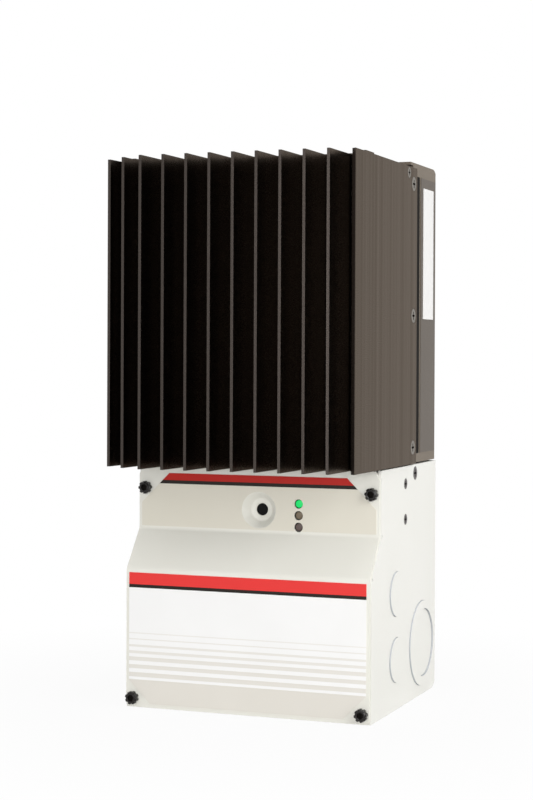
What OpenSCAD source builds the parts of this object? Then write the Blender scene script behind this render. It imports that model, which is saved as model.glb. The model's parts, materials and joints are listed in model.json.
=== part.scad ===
// Wall-mounted charge controller: finned heat sink, rear chassis and wiring box.
// Millimetres. X runs to the right, Y to the back and Z up.
// The origin lies on the floor, under the middle of the object.

/* [Overall] */
// Width across the heat sink's side walls
overall_w = 130; // [124:1:140]
// Depth from the fin tips to the back
overall_d = 145; // [141:1:152]
// Height of the wiring box, up to the heat sink's lower end
box_h = 120; // [118:1:130]
// Length of the heat sink extrusion
sink_h = 148.8; // [140:0.1:170]
// Thickness of the formed sheet
sheet_t = 1.5; // [1.2:0.1:1.8]
// Clearance between nested sheets
slip = 0.1; // [0.05:0.05:0.15]

/* [Heat sink] */
// Number of fins between the two side walls
inner_fins = 10; // [8:1:10]
// Spacing of the inner fins
fin_pitch = 11.8; // [11:0.1:12]
// Thickness of a fin at its tip
fin_tip_t = 1.4; // [1.2:0.1:2]
// Thickness of a fin at its root
fin_root_t = 2.5; // [2.2:0.1:3]
// Depth of the fins
fin_depth = 31; // [28:0.5:33]
// Thickness of the web behind the fins
web_t = 5; // [4:0.5:6]
// Fillet radius at the fin roots
fin_fillet = 1.5; // [1:0.5:2]
// Thickness of the side walls behind the web
side_wall_t = 2; // [1.8:0.1:2.5]
// Depth of the extrusion, from the fin tips to its rear edge
sink_d = 102; // [99:1:104]
// Setback of the left outer fin
left_setback = 14; // [0:1:18]
// Setback of the fin next to it
next_setback = 6; // [0:1:12]
// Setback of the right outer fin
right_setback = 3.5; // [0:0.5:12]
// How far the right outer tip slopes back towards the inside
tip_slope = 1.2; // [0:0.2:2]
// Head diameter of the side screws
sink_screw_head = 7.2; // [6:0.1:7.6]
// Distance of the side screws from the rear edge
sink_screw_inset = 5.6; // [5:0.1:5.8]
// Distance of the lowest and highest side screw from the ends
sink_screw_end = 8.2; // [7:0.1:12]

/* [End plate] */
// Length of the lap on top of the web
lap_len = 12.5; // [12:0.5:14]
// Reach of the lap in front of the web
lap_out = 4.5; // [3:0.5:4.5]
// Width of the two laps beside the walls
lap_w = 6.4; // [5:0.1:8]
// Thickness of the end plate
end_plate_t = 1.5; // [1.2:0.1:1.6]
// Width of the end plate's side tabs
end_tab_w = 7.6; // [7:0.1:9]
// Head diameter of the end plate screws
end_screw_head = 5.4; // [5:0.1:5.6]

/* [Rear chassis] */
// Rise of the chassis top above the heat sink
chassis_rise = 3.2; // [3:0.1:6]
// Lap of the chassis top over the heat sink
chassis_lap = 4.5; // [2:0.5:6]
// Length of the side flanges inside the heat sink
chassis_flange = 9.5; // [9.3:0.1:11]
// Outer radius of the bend at the top
chassis_top_r = 7; // [4:0.5:8]
// Outer radius of the upright bends
chassis_side_r = 2.5; // [2:0.1:4]
// Spacing of the keyholes
keyhole_span = 70; // [50:1:90]
// Diameter of the keyhole's entry
keyhole_d = 10; // [8:0.5:12]
// Width of the keyhole's slot
keyhole_slot = 5; // [4:0.5:6]
// Drop of the keyhole's entry below the heat sink's top
keyhole_drop = 30; // [26:1:40]
// Rise of the slot above the entry
keyhole_rise = 10; // [8:1:14]
// Thickness of the seal strip in the seam
gasket_t = 0.4; // [0.3:0.1:0.6]
// Width of the seal strip in the seam
gasket_w = 10.3; // [8:0.1:11]
// Distance of the dark label from the seam
label_gap = 13.3; // [12:0.1:15]
// Thickness of the printed films and labels
film_t = 0.25; // [0.2:0.05:0.4]
// Height of the white sticker
sticker_h = 67.2; // [50:0.1:80]
// Width of the white sticker
sticker_w = 18.4; // [12:0.1:20]

/* [Wiring box] */
// Inset of the wiring box from the heat sink's sides
box_inset = 1.5; // [1:0.1:2]
// Gap between the wiring box and the heat sink
box_gap = 0.8; // [0.5:0.1:0.9]
// Width of the inward front flanges
flange_w = 12; // [10.5:0.5:14]
// Height of the lower front flange
lower_flange_h = 10; // [9:0.5:14]
// Outer radius of the lower rear bend
box_bottom_r = 8; // [4:0.5:9]
// Outer radius of the upright rear bends
box_side_r = 2; // [1.9:0.1:3]
// Diameter of the small knockouts
small_ko_d = 22.2; // [20:0.1:24]
// Diameter of the large knockout's ring
large_ko_d = 43.6; // [40:0.1:44]
// Diameter of the large knockout's inner disc
inner_ko_d = 34.6; // [30:0.1:35]
// Gap between the large knockout and the back wall
ko_back_gap = 3.5; // [2:0.1:4]
// Space between the small knockouts and the large one
ko_space = 11.1; // [8:0.1:14]
// Height of the lower small knockout
small_ko_low = 24.7; // [22:0.1:26]
// Spacing of the small knockouts
small_ko_pitch = 32.5; // [28:0.5:34]
// Gap round a knockout
ko_gap = 0.12; // [0.05:0.01:0.15]
// How far a knockout stands proud of the wall
ko_proud = 0.8; // [0.4:0.1:1]
// How far the inner disc sits behind the ring of the large knockout
ko_step = 0.9; // [0.6:0.1:1.2]
// Diameter of the wall fixing holes
wall_hole_d = 6.5; // [5:0.5:8]
// Spacing of the wall fixing holes
wall_hole_span = 80; // [60:1:90]
// Height of the wall fixing holes
wall_hole_z = 44; // [36:1:48]

/* [Cover] */
// Setback of the cover's upper panel from the fin tips
cover_setback = 47.4; // [44:0.1:50]
// Step from the upper panel forward to the lower panel
cover_step = 14.7; // [10:0.1:18]
// Height of the upper bend
bend_hi = 87.5; // [85:0.5:88]
// Height of the lower bend
bend_lo = 68.5; // [60:0.5:70]
// Inner radius of the cover's bends
bend_r = 3; // [2.5:0.5:5]
// Inset of the cover from the wiring box's sides
cover_inset = 0.3; // [0.2:0.1:0.5]
// Drop of the cover's top below the heat sink
cover_drop = 1.2; // [1:0.1:2]
// Radius of the cover's lower corners
cover_corner_r = 2.5; // [1:0.5:4]
// Rest gap between the cover and the wiring box
seat_gap = 0.05; // [0.02:0.01:0.1]
// Diameter of the button dish
dish_d = 18; // [16:0.5:18]
// Diameter of the dish's floor
dish_floor_d = 12; // [10:0.5:13]
// Depth of the dish
dish_depth = 4; // [3:0.5:5]
// Offset of the dish from the middle
dish_x = 1.2; // [-4:0.1:4]
// Height of the dish
dish_z = 98.4; // [98.2:0.1:100]
// Distance of the lamps from the middle
lamp_x = 22; // [16:0.5:30]
// Spacing of the lamps
lamp_pitch = 5.65; // [5.4:0.05:6]
// Diameter of the lamp lenses
lamp_d = 4.2; // [3:0.1:4.4]
// Depth of the lamp lenses below the film's face
lamp_recess = 0.8; // [0.3:0.1:1.2]
// Head diameter of the cover screws
cover_screw_head = 6.5; // [6:0.1:7]
// Head height of the cover screws
cover_screw_head_h = 3; // [2.5:0.5:5]
// Shank diameter of the cover screws
cover_screw_d = 4; // [3:0.5:4]
// Inset of the cover screws from the cover's sides
cover_screw_inset = 3.7; // [3.6:0.1:4.2]
// Inset of the upper cover screws from the cover's top
cover_screw_drop = 10.9; // [10:0.1:12]
// Height of the lower cover screws
cover_screw_low = 4.9; // [4.8:0.1:6]
// Inset of the films from the cover's sides
film_inset = 1.6; // [1.2:0.1:2.5]
// Cut corners of the upper film
upper_film_cut = 14.8; // [14.6:0.1:17]
// Cut corners of the lower film
lower_film_cut = 11.4; // [10.8:0.1:14]

/* [Control board] */
// Distance from the cover's face to the control board
board_setback = 16.6; // [16:0.1:18]
// Thickness of the circuit boards
board_t = 1.6; // [1:0.1:2.4]
// Gap between the control board and the bracket's sides
board_side_gap = 4.4; // [2.4:0.1:6]
// Height of the control board
board_h = 40; // [39:1:41]
// Length of the control board's standoffs
board_standoff = 4.4; // [3:0.1:6]
// Diameter of the reset button
button_d = 5.6; // [4.5:0.1:5.8]
// Travel of the reset button
button_travel = 1; // [0.6:0.1:1.2]
// Spacing of the setting levers
lever_pitch = 2.54; // [2.4:0.01:3]
// Travel of the setting levers
lever_travel = 2; // [1.5:0.1:2.2]
// Spacing of the signal terminals
signal_pitch = 5.08; // [5:0.01:5.2]
// Diameter of the signal terminal screws
signal_screw_d = 3.2; // [2.5:0.1:3.4]

/* [Power terminals] */
// Height of the shelf over the power terminals
shelf_z = 82; // [76:1:86]
// Spacing of the poles
pole_pitch = 20; // [19:0.5:22]
// Height of the terminal block
term_h = 26; // [24:1:28]
// Width of the wire space
wire_w = 12; // [10:0.5:12]
// Depth of the wire space with the clamp open
wire_gap = 9; // [8:0.5:10]
// Travel of a clamp
clamp_travel = 5; // [4:0.5:6]
// Wall of a clamp
clamp_wall = 2.5; // [2:0.1:3]
// Height of a clamp
clamp_h = 12; // [10:0.5:13]
// Diameter of a terminal screw's shank
power_screw_d = 6; // [5:0.5:6.5]
// Diameter of a terminal screw's head
power_screw_head = 9; // [8:0.5:10]
// Width of a bus bar
bar_w = 10; // [8:0.5:10]
// Thickness of a bus bar
bar_t = 2; // [1.5:0.1:2.5]

/* [Power board] */
// Length of the power board's standoffs
power_standoff = 10; // [9:0.5:12]
// Gap between the power board and the side walls
power_side_gap = 5; // [4:0.5:10]
// Drop of the transistors below the heat sink's top
transistor_drop = 50; // [45:1:60]
// Drop of the inductors below the heat sink's top
core_drop = 70; // [66:1:78]
// Diameter of a capacitor
cap_d = 18; // [12:0.5:19]
// Length of a capacitor
cap_len = 35; // [25:1:40]
// Diameter of an inductor core
core_d = 40; // [34:1:44]
// Bore of an inductor core
core_bore = 22; // [18:1:24]
// Height of an inductor core
core_h = 16; // [12:1:20]
// Thickness of an inductor winding
winding_t = 3; // [2:0.5:4]

/* [Hidden] */

// Finish colours
anodised = [0.36, 0.33, 0.30];
dark_paint = [0.48, 0.45, 0.41];
white_paint = [0.94, 0.93, 0.91];
black_part = [0.06, 0.06, 0.06];
zinc = [0.72, 0.70, 0.66];
copper = [0.78, 0.45, 0.28];
board_green = [0.10, 0.36, 0.20];

// Small lengths shared by many pieces
overcut = 1;
sink_in = 0.2;
fine = 48;

// Main planes
y_tip = -overall_d / 2;
y_back = overall_d / 2;
sink_z0 = box_h;
sink_z1 = box_h + sink_h;
seam_y = y_tip + sink_d;
web_y0 = y_tip + fin_depth;
web_y1 = web_y0 + web_t;
sink_x = overall_w / 2;
wall_x = sink_x - side_wall_t;
chassis_x = wall_x - slip;
chassis_in = chassis_x - sheet_t;
chassis_z1 = sink_z1 + chassis_rise;
chassis_y0 = seam_y - chassis_flange;
box_x = sink_x - box_inset;
box_in = box_x - sheet_t;
box_z1 = box_h - box_gap;
nest_x = box_in - slip;
nest_in = nest_x - sheet_t;
cover_x = box_x - cover_inset;
cover_up = y_tip + cover_setback;
cover_lo = cover_up - cover_step;
cover_z0 = 0.3;
cover_z1 = box_h - cover_drop;
bend_angle = atan(cover_step / (bend_hi - bend_lo));
bend_half = tan(bend_angle / 2);
flange_off = sheet_t + seat_gap;
flange_back = flange_off + sheet_t;

// Places of the fasteners: [y, z, head diameter]
screw_d = 3.5;
small_screw_d = 2.9;
screw_clear = 0.1;
side_screw_len = 9;
fit_gap = 0.4;
edge_gap = 0.5;
end_screw_y = chassis_y0 - fit_gap - end_tab_w / 2;
end_screw_z = sink_z1 - end_screw_head / 2 - edge_gap;
sink_screws = [
    [seam_y - sink_screw_inset, sink_z0 + sink_screw_end, sink_screw_head],
    [seam_y - sink_screw_inset, (sink_z0 + sink_z1) / 2, sink_screw_head],
    [seam_y - sink_screw_inset, sink_z1 - sink_screw_end, sink_screw_head],
    [end_screw_y, end_screw_z, end_screw_head]];
tab_screw_d = 6.8;
tab_screw_in = 3.45;
tab_screw_drop = 5.3;
tab_y0 = seam_y + fit_gap;
tab_w = 7.4;
tab_drop = 10.5;
bracket_screw_d = 5.5;
bracket_screw_back = 19.3;
bracket_screw_low = 10.6;
bracket_screw_pitch = 17.8;
bracket_screw_z = shelf_z + bracket_screw_low;
cover_screw_x = cover_x - cover_screw_inset;
cover_screw_hi = cover_z1 - cover_screw_drop;

// Control board and bracket
board_y = cover_up + board_setback;
top_gap = 3.2;
board_w = 2 * (nest_in - board_side_gap);
board_z1 = box_z1 - top_gap;
board_z0 = board_z1 - board_h;
board_hole_in = 4;
bracket_y = board_y + board_t + board_standoff;
bracket_z1 = box_z1 - top_gap;
bracket_flange = 27;
bracket_screw_y = bracket_y + bracket_screw_back;
box_screws = [
    [tab_y0 + tab_screw_in, sink_z0 - tab_screw_drop, tab_screw_d],
    [bracket_screw_y, bracket_screw_z + bracket_screw_pitch, bracket_screw_d],
    [bracket_screw_y, bracket_screw_z, bracket_screw_d]];

// Power terminals, measured back from the block's front face
poles = 4;
term_gap = 4.5;
clamp_rise = 4;
bar_play = 0.1;
bar_rise = 10;
term_y = bracket_y + sheet_t + term_gap;
term_z1 = shelf_z;
term_z0 = term_z1 - term_h;
term_wall = 2;
clamp_side = 2;
term_back = 4;
run_gap = 0.4;
head_in = 0.5;
head_h = 3;
front_wall = head_in + head_h + sink_in;
clamp_y = term_y + front_wall + run_gap + clamp_travel;
bar_y = clamp_y + clamp_wall + run_gap + bar_play;
clamp_len = 2 * clamp_wall + run_gap + bar_play + bar_t + wire_gap;
clamp_x = wire_w / 2 + clamp_side;
clamp_z0 = term_z0 + clamp_rise;
cavity_y1 = clamp_y + clamp_len + run_gap;
term_d = cavity_y1 - term_y + term_back;
term_w = poles * pole_pitch + 2 * term_wall;
power_screw_z = clamp_z0 + clamp_h / 2;
bar_z1 = sink_z0 + bar_rise;

// Power board
power_y = web_y1 + power_standoff;
power_low_gap = 6;
power_top_gap = 8.8;
power_board_w = 2 * (wall_x - power_side_gap);
power_z0 = sink_z0 + power_low_gap;
power_z1 = sink_z1 - power_top_gap;
power_back = power_y + board_t;

function pole_x(k) = (k - (poles + 1) / 2) * pole_pitch;
function fin_x(k) = (k - (inner_fins - 1) / 2) * fin_pitch;
function reversed(list) = [for (k = [len(list) - 1 : -1 : 0]) list[k]];

// Points [y, z] of an arc about c, from angle a to angle b
function arc(c, r, a, b, n = 10) =
    [for (k = [0 : n]) c + r * [cos(a + (b - a) * k / n), sin(a + (b - a) * k / n)]];

// The cover's section, moved back by off from its front face, from the top down
function front_line(off, z_top, z_low) =
    let (r1 = bend_r + off, r2 = max(0.4, bend_r + sheet_t - off),
         k1 = [cover_up + off, bend_hi - off * bend_half],
         k2 = [cover_lo + off, bend_lo - off * bend_half])
    concat([[cover_up + off, z_top]],
           arc(k1 + [-r1, r1 * bend_half], r1, 0, -bend_angle),
           arc(k2 + [r2, -r2 * bend_half], r2, 180 - bend_angle, 180),
           [[cover_lo + off, z_low]]);

// Extrusions along X and along Y of an outline drawn as [y, z] or as [x, z]
module along_x(x0, x1) {
    translate([x0, 0, 0]) rotate([90, 0, 90]) linear_extrude(x1 - x0) children();
}

module along_y(y0, y1) {
    translate([0, y1, 0]) rotate([90, 0, 0]) linear_extrude(y1 - y0) children();
}

module block(low, high) {
    translate(low) cube(high - low);
}

module rod_y(d, y0, y1, x, z) {
    translate([x, y1, z]) rotate([90, 0, 0]) cylinder(d = d, h = y1 - y0, $fn = fine);
}

module rod_x(d, x0, x1, y, z) {
    translate([x0, y, z]) rotate([0, 90, 0]) cylinder(d = d, h = x1 - x0, $fn = fine);
}

// A rectangle from [u0, v0] to [u1, v1] with its corner at [u1, v1] rounded
module one_round(u0, v0, u1, v1, r) {
    translate([u0, v0]) square([u1 - u0 - r, v1 - v0]);
    translate([u0, v0]) square([u1 - u0, v1 - v0 - r]);
    translate([u1 - r, v1 - r]) circle(r = r, $fn = fine);
}

// A plan outline with both rear corners rounded
module rear_round(xh, v0, v1, r) {
    one_round(0, v0, xh, v1, r);
    mirror([1, 0]) one_round(0, v0, xh, v1, r);
}

// Countersunk screw or its hole, head at the origin, pointing up out of the wall
module flat_screw(head_d, shank_d, len, grow = 0) {
    depth = (head_d - shank_d) / 2;
    translate([0, 0, -len - grow]) cylinder(d = shank_d + 2 * grow, h = len, $fn = fine);
    translate([0, 0, -depth - grow])
        cylinder(d1 = shank_d + 2 * grow, d2 = head_d + 2 * grow, h = depth, $fn = fine);
    if (grow > 0) translate([0, 0, -grow]) cylinder(d = head_d + 2 * grow, h = 1 + grow, $fn = fine);
}

module cross_recess(size, width, depth) {
    for (a = [0, 90])
        rotate([0, 0, a]) translate([-size / 2, -width / 2, -depth]) cube([size, width, depth + 1]);
}

// Places its children on a side wall, facing outwards
module on_side(s, x, y, z) {
    translate([s * x, y, z]) rotate([0, s * 90, 0]) children();
}

// Screws and holes of a list of places, on both sides
module side_screws(list, x, len) {
    for (s = [-1, 1], p = list)
        on_side(s, x, p[0], p[1]) difference() {
            flat_screw(p[2], shank_for(p[2]), len);
            cross_recess(p[2] * 0.55, p[2] * 0.13, p[2] * 0.16);
        }
}

module side_holes(list, x, len) {
    for (s = [-1, 1], p = list)
        on_side(s, x, p[0], p[1]) flat_screw(p[2], shank_for(p[2]), len, screw_clear);
}

function shank_for(head_d) = head_d > 6 ? screw_d : small_screw_d;

// Heat sink
module root_fillet(x, s) {
    back = fin_root_t / 2;
    difference() {
        translate([min(x - s * back, x + s * fin_fillet), web_y0 - fin_fillet])
            square([fin_fillet + back, fin_fillet + sink_in]);
        translate([x + s * fin_fillet, web_y0 - fin_fillet]) circle(r = fin_fillet, $fn = fine);
    }
}

module inner_fin(x, setback) {
    polygon([[x - fin_root_t / 2, web_y0 + sink_in], [x - fin_tip_t / 2, y_tip + setback],
             [x + fin_tip_t / 2, y_tip + setback], [x + fin_root_t / 2, web_y0 + sink_in]]);
    for (s = [-1, 1]) root_fillet(x + s * fin_root_t / 2, s);
}

// Left side wall with the outer fin in front of it
module outer_side(setback, tip_t, slope) {
    polygon([[-sink_x, y_tip + setback], [tip_t - sink_x, y_tip + setback + slope],
             [fin_root_t - sink_x, web_y0 + sink_in], [side_wall_t - sink_x, web_y1 - sink_in],
             [side_wall_t - sink_x, seam_y], [-sink_x, seam_y]]);
    root_fillet(fin_root_t - sink_x, 1);
}

module sink_outline() {
    web_x = wall_x + side_wall_t / 2;
    translate([-web_x, web_y0]) square([2 * web_x, web_t]);
    outer_side(left_setback, fin_tip_t, 0);
    mirror([1, 0]) outer_side(right_setback, side_wall_t, tip_slope);
    for (k = [0 : inner_fins - 1]) inner_fin(fin_x(k), k == 0 ? next_setback : 0);
}

module heat_sink() {
    color(anodised) difference() {
        translate([0, 0, sink_z0]) linear_extrude(sink_h) sink_outline();
        side_holes(sink_screws, sink_x, side_screw_len);
    }
}

module heat_sink_screws() {
    color(zinc) side_screws(sink_screws, sink_x, side_screw_len);
}

// End plate: laps over the web beside the walls, steps down between them and has two screwed tabs
end_back_gap = 2;
end_z1 = sink_z1 - fit_gap;
end_y1 = seam_y - end_back_gap;

module end_plate() {
    lap_x = sink_x - fin_root_t - slip;
    plate_x = chassis_in - slip;
    lap_y = web_y0 - lap_out;
    step_y = lap_y + lap_len;
    color(anodised) difference() {
        union() {
            for (s = [-1, 1])
                block([s > 0 ? lap_x - lap_w : -lap_x, lap_y, sink_z1],
                      [s > 0 ? lap_x : lap_w - lap_x, step_y, sink_z1 + end_plate_t]);
            block([-plate_x, step_y - end_plate_t, end_z1 - end_plate_t],
                  [plate_x, step_y, sink_z1 + end_plate_t]);
            block([-plate_x, step_y - end_plate_t, end_z1 - end_plate_t], [plate_x, end_y1, end_z1]);
            for (s = [-1, 1]) end_tab(s, plate_x);
        }
        side_holes(sink_screws, sink_x, side_screw_len);
    }
}

module end_tab(s, plate_x) {
    y0 = end_screw_y - end_tab_w / 2;
    tab_z0 = end_screw_z - end_tab_w / 2;
    x_low = min(plate_x - sheet_t, chassis_x - end_plate_t);
    block([s > 0 ? x_low : -chassis_x, y0, end_z1 - end_plate_t],
          [s > 0 ? chassis_x : -x_low, y0 + end_tab_w, end_z1]);
    block([s > 0 ? chassis_x - end_plate_t : -chassis_x, y0, tab_z0],
          [s > 0 ? chassis_x : end_plate_t - chassis_x, y0 + end_tab_w, end_z1]);
}

// Rear chassis
module chassis_solid(inset, reach) {
    intersection() {
        translate([0, 0, sink_z0 - reach]) linear_extrude(chassis_z1 - inset - sink_z0 + reach)
            rear_round(chassis_x - inset, chassis_y0 - reach, y_back - inset, chassis_side_r - inset);
        along_x(-sink_x, sink_x)
            one_round(chassis_y0 - reach, sink_z0 - reach, y_back - inset, chassis_z1 - inset,
                      chassis_top_r - inset);
    }
}

module keyhole(x) {
    z = sink_z1 - keyhole_drop;
    y0 = y_back - sheet_t - overcut;
    y1 = y_back + overcut;
    rod_y(keyhole_d, y0, y1, x, z);
    rod_y(keyhole_slot, y0, y1, x, z + keyhole_rise);
    block([x - keyhole_slot / 2, y0, z], [x + keyhole_slot / 2, y1, z + keyhole_rise]);
}

bridge_rise = 2;

module box_tab(s) {
    y1 = tab_y0 + tab_w;
    low = min(nest_in, chassis_in);
    high = max(nest_x, chassis_x);
    bridge_z = sink_z0 + bridge_rise;
    block([s > 0 ? nest_in : -nest_x, tab_y0, sink_z0 - tab_drop],
          [s > 0 ? nest_x : -nest_in, y1, bridge_z + sheet_t]);
    block([s > 0 ? low : -high, tab_y0, bridge_z], [s > 0 ? high : -low, y1, bridge_z + sheet_t]);
}

module rear_chassis() {
    under_top = chassis_z1 - sheet_t;
    color(dark_paint) difference() {
        union() {
            difference() {
                chassis_solid(0, 0);
                chassis_solid(sheet_t, overcut);
            }
            for (s = [-1, 1]) box_tab(s);
        }
        block([-sink_x, chassis_y0 - overcut, end_z1 - sink_in], [sink_x, seam_y + slip, under_top]);
        block([-sink_x, chassis_y0 - overcut, end_z1 - sink_in],
              [sink_x, seam_y - chassis_lap, chassis_z1 + overcut]);
        side_holes(sink_screws, sink_x, side_screw_len);
        side_holes([box_screws[0]], box_x, side_screw_len);
        for (s = [-1, 1]) keyhole(s * keyhole_span / 2);
    }
}

gasket_y1 = seam_y + slip + gasket_w;
label_y0 = seam_y + label_gap;
label_low_gap = 4.7;
label_top_gap = 3.4;
sticker_side_gap = 4.5;
sticker_top_gap = 5;
label_z0 = sink_z0 + label_low_gap;
label_z1 = sink_z1 - label_top_gap;
label_y1 = y_back - chassis_side_r - edge_gap;

module seam_gaskets() {
    color(black_part) for (s = [-1, 1])
        block([s > 0 ? chassis_x : -chassis_x - gasket_t, seam_y + slip, label_z0],
              [s > 0 ? chassis_x + gasket_t : -chassis_x, gasket_y1, label_z1]);
}

module side_label() {
    color([0.45, 0.42, 0.40])
        block([chassis_x, label_y0, label_z0], [chassis_x + film_t, label_y1, label_z1]);
}

module serial_sticker() {
    y1 = label_y1 - sticker_side_gap;
    z1 = label_z1 - sticker_top_gap;
    color("white") block([chassis_x + film_t, y1 - sticker_w, z1 - sticker_h],
                         [chassis_x + 2 * film_t, y1, z1]);
}

// Wiring box
ko_low_gap = 3.4;
inner_ko_shift = 2.2;
floor_ko_back = 36;
large_ko_y = y_back - sheet_t - large_ko_d / 2 - ko_back_gap;
large_ko_z = large_ko_d / 2 + sheet_t + ko_low_gap;
inner_ko_y = large_ko_y + inner_ko_shift;
small_ko_y = large_ko_y - (large_ko_d + small_ko_d) / 2 - ko_space;
small_ko_z = [small_ko_low, small_ko_low + small_ko_pitch];
floor_ko_x = 28;
floor_ko_y = cover_lo + floor_ko_back;

// Side outline of the box, its front edge moved back by off and the rest in by inset
module box_outline(off, inset, z_top) {
    r = box_bottom_r - inset;
    polygon(concat(front_line(off, z_top, inset),
                   arc([y_back - inset - r, inset + r], r, -90, 0),
                   [[y_back - inset, z_top]]));
}

module box_shell() {
    difference() {
        intersection() {
            along_x(-box_x, box_x) box_outline(flange_off, 0, box_z1);
            linear_extrude(box_h) rear_round(box_x, y_tip, y_back, box_side_r);
        }
        intersection() {
            along_x(-box_in, box_in) box_outline(flange_back, sheet_t, box_h);
            linear_extrude(box_h) rear_round(box_in, y_tip, y_back - sheet_t, box_side_r - sheet_t);
        }
    }
}

module wiring_box() {
    window_x = box_x - flange_w;
    color(white_paint) difference() {
        box_shell();
        block([-window_x, y_tip, lower_flange_h], [window_x, cover_up + flange_back + sink_in, box_h]);
        side_holes(box_screws, box_x, side_screw_len);
        box_knockout_holes();
        for (s = [-1, 1]) {
            rod_y(wall_hole_d, y_back - sheet_t - overcut, y_back + overcut,
                  s * wall_hole_span / 2, wall_hole_z);
            flange_reliefs(s);
        }
        cover_screw_holes(cover_screw_d + 0.6);
    }
}

module box_knockout_holes() {
    for (s = [-1, 1]) {
        x0 = s > 0 ? box_in - overcut : -box_x - overcut;
        x1 = x0 + sheet_t + 2 * overcut;
        for (z = small_ko_z) rod_x(small_ko_d, x0, x1, small_ko_y, z);
        rod_x(large_ko_d, x0, x1, large_ko_y, large_ko_z);
        translate([s * floor_ko_x, floor_ko_y, -overcut])
            cylinder(d = small_ko_d, h = sheet_t + 2 * overcut, $fn = fine);
    }
}

// Round bend reliefs at the two knees and a slot at the top of the flange
module flange_reliefs(s) {
    relief_d = 1.6;
    x0 = s > 0 ? box_in - overcut : -box_x - overcut;
    for (p = [[cover_up, bend_hi], [cover_lo, bend_lo]])
        rod_x(relief_d, x0, x0 + sheet_t + 2 * overcut, p[0] + flange_off + relief_d, p[1]);
    slot_z = box_z1 - 5;
    block([s > 0 ? box_in - 1.2 : -box_in, y_tip, slot_z],
          [s > 0 ? box_in : 1.2 - box_in, cover_up + flange_back + sink_in, box_h]);
}

nut_t = 3;
nut_half = 3.2;
nut_in = 4;
shank_out = 1;
hole_reach = flange_back + nut_t + shank_out;

module cover_screw_holes(d) {
    for (s = [-1, 1]) {
        rod_y(d, cover_up - overcut, cover_up + hole_reach, s * cover_screw_x, cover_screw_hi);
        rod_y(d, cover_lo - overcut, cover_lo + hole_reach, s * cover_screw_x, cover_screw_low);
    }
}

module wiring_box_screws() {
    color(zinc) side_screws(box_screws, box_x, side_screw_len);
}

module small_knockouts() {
    d = small_ko_d - 2 * ko_gap;
    color(white_paint) for (s = [-1, 1]) {
        x0 = s > 0 ? box_in + ko_proud : -box_x - ko_proud;
        for (z = small_ko_z) rod_x(d, x0, x0 + sheet_t, small_ko_y, z);
        translate([s * floor_ko_x, floor_ko_y, sink_in]) cylinder(d = d, h = sheet_t, $fn = fine);
    }
}

module large_knockouts() {
    ring_d = large_ko_d - 2 * ko_gap;
    disc_d = inner_ko_d - 2 * ko_gap;
    color(white_paint) for (s = [-1, 1]) {
        x0 = s > 0 ? box_in + ko_proud : -box_x - ko_proud;
        disc_x0 = x0 - s * ko_step;
        difference() {
            rod_x(ring_d, x0, x0 + sheet_t, large_ko_y, large_ko_z);
            rod_x(inner_ko_d, x0 - overcut, x0 + sheet_t + overcut, inner_ko_y, large_ko_z);
        }
        rod_x(disc_d, disc_x0, disc_x0 + sheet_t, inner_ko_y, large_ko_z);
    }
}

// Cover
lamp_z = [dish_z + lamp_pitch * 0.65, dish_z - lamp_pitch * 0.35, dish_z - lamp_pitch * 1.35];
dish_t = 1.2;
dish_hole_d = button_d + 0.6;

module cover_outline() {
    r = cover_corner_r;
    cut_w = 2;
    cut_h = 4.2;
    polygon(concat(arc([r - cover_x, cover_z0 + r], r, 180, 270),
                   arc([cover_x - r, cover_z0 + r], r, 270, 360),
                   [[cover_x, cover_z1 - cut_h], [cover_x - cut_w, cover_z1],
                    [cut_w - cover_x, cover_z1], [-cover_x, cover_z1 - cut_h]]));
}

// Half section of the pressed dish, radius against depth from the cover's face
module dish() {
    rim = dish_d / 2;
    foot = dish_floor_d / 2;
    hole = dish_hole_d / 2;
    translate([dish_x, cover_up, dish_z]) rotate([-90, 0, 0]) rotate_extrude($fn = 64)
        polygon([[rim + sink_in, 0], [rim, 0], [foot, dish_depth], [hole, dish_depth],
                 [hole, dish_depth + dish_t], [foot + dish_t, dish_depth + dish_t],
                 [rim + sink_in, sheet_t]]);
}

module box_cover() {
    color(white_paint) union() {
        difference() {
            intersection() {
                along_x(-cover_x, cover_x)
                    polygon(concat(front_line(0, cover_z1, cover_z0),
                                   reversed(front_line(sheet_t, cover_z1, cover_z0))));
                along_y(cover_lo - overcut, cover_up + overcut + sheet_t) cover_outline();
            }
            rod_y(dish_d, cover_up - overcut, cover_up + sheet_t + overcut, dish_x, dish_z);
            for (z = lamp_z)
                rod_y(lamp_d + 0.6, cover_up - overcut, cover_up + sheet_t + overcut, lamp_x, z);
            cover_screw_holes(cover_screw_d + 0.6);
        }
        dish();
    }
}

film_x = cover_x - film_inset;
film_top_gap = 3.5;
upper_film = [bend_hi + bend_r * bend_half + 0.2, cover_z1 - film_top_gap];
lower_film = [cover_z0 + 2, bend_lo - (bend_r + sheet_t) * bend_half - 0.2];

module upper_overlay() {
    cut = upper_film_cut;
    color([0.86, 0.83, 0.77]) difference() {
        along_y(cover_up - film_t, cover_up)
            polygon([[-film_x, upper_film[0]], [film_x, upper_film[0]], [film_x, upper_film[1] - cut],
                     [film_x - cut, upper_film[1]], [cut - film_x, upper_film[1]],
                     [-film_x, upper_film[1] - cut]]);
        rod_y(dish_d, cover_up - overcut, cover_up + overcut, dish_x, dish_z);
        for (z = lamp_z) rod_y(lamp_d + 0.3, cover_up - overcut, cover_up + overcut, lamp_x, z);
    }
}

module lower_overlay() {
    cut = lower_film_cut;
    color([0.96, 0.96, 0.95]) along_y(cover_lo - film_t, cover_lo)
        polygon([[-film_x, lower_film[1]], [film_x, lower_film[1]], [film_x, lower_film[0] + cut],
                 [film_x - cut, lower_film[0]], [cut - film_x, lower_film[0]],
                 [-film_x, lower_film[0] + cut]]);
}

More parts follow.
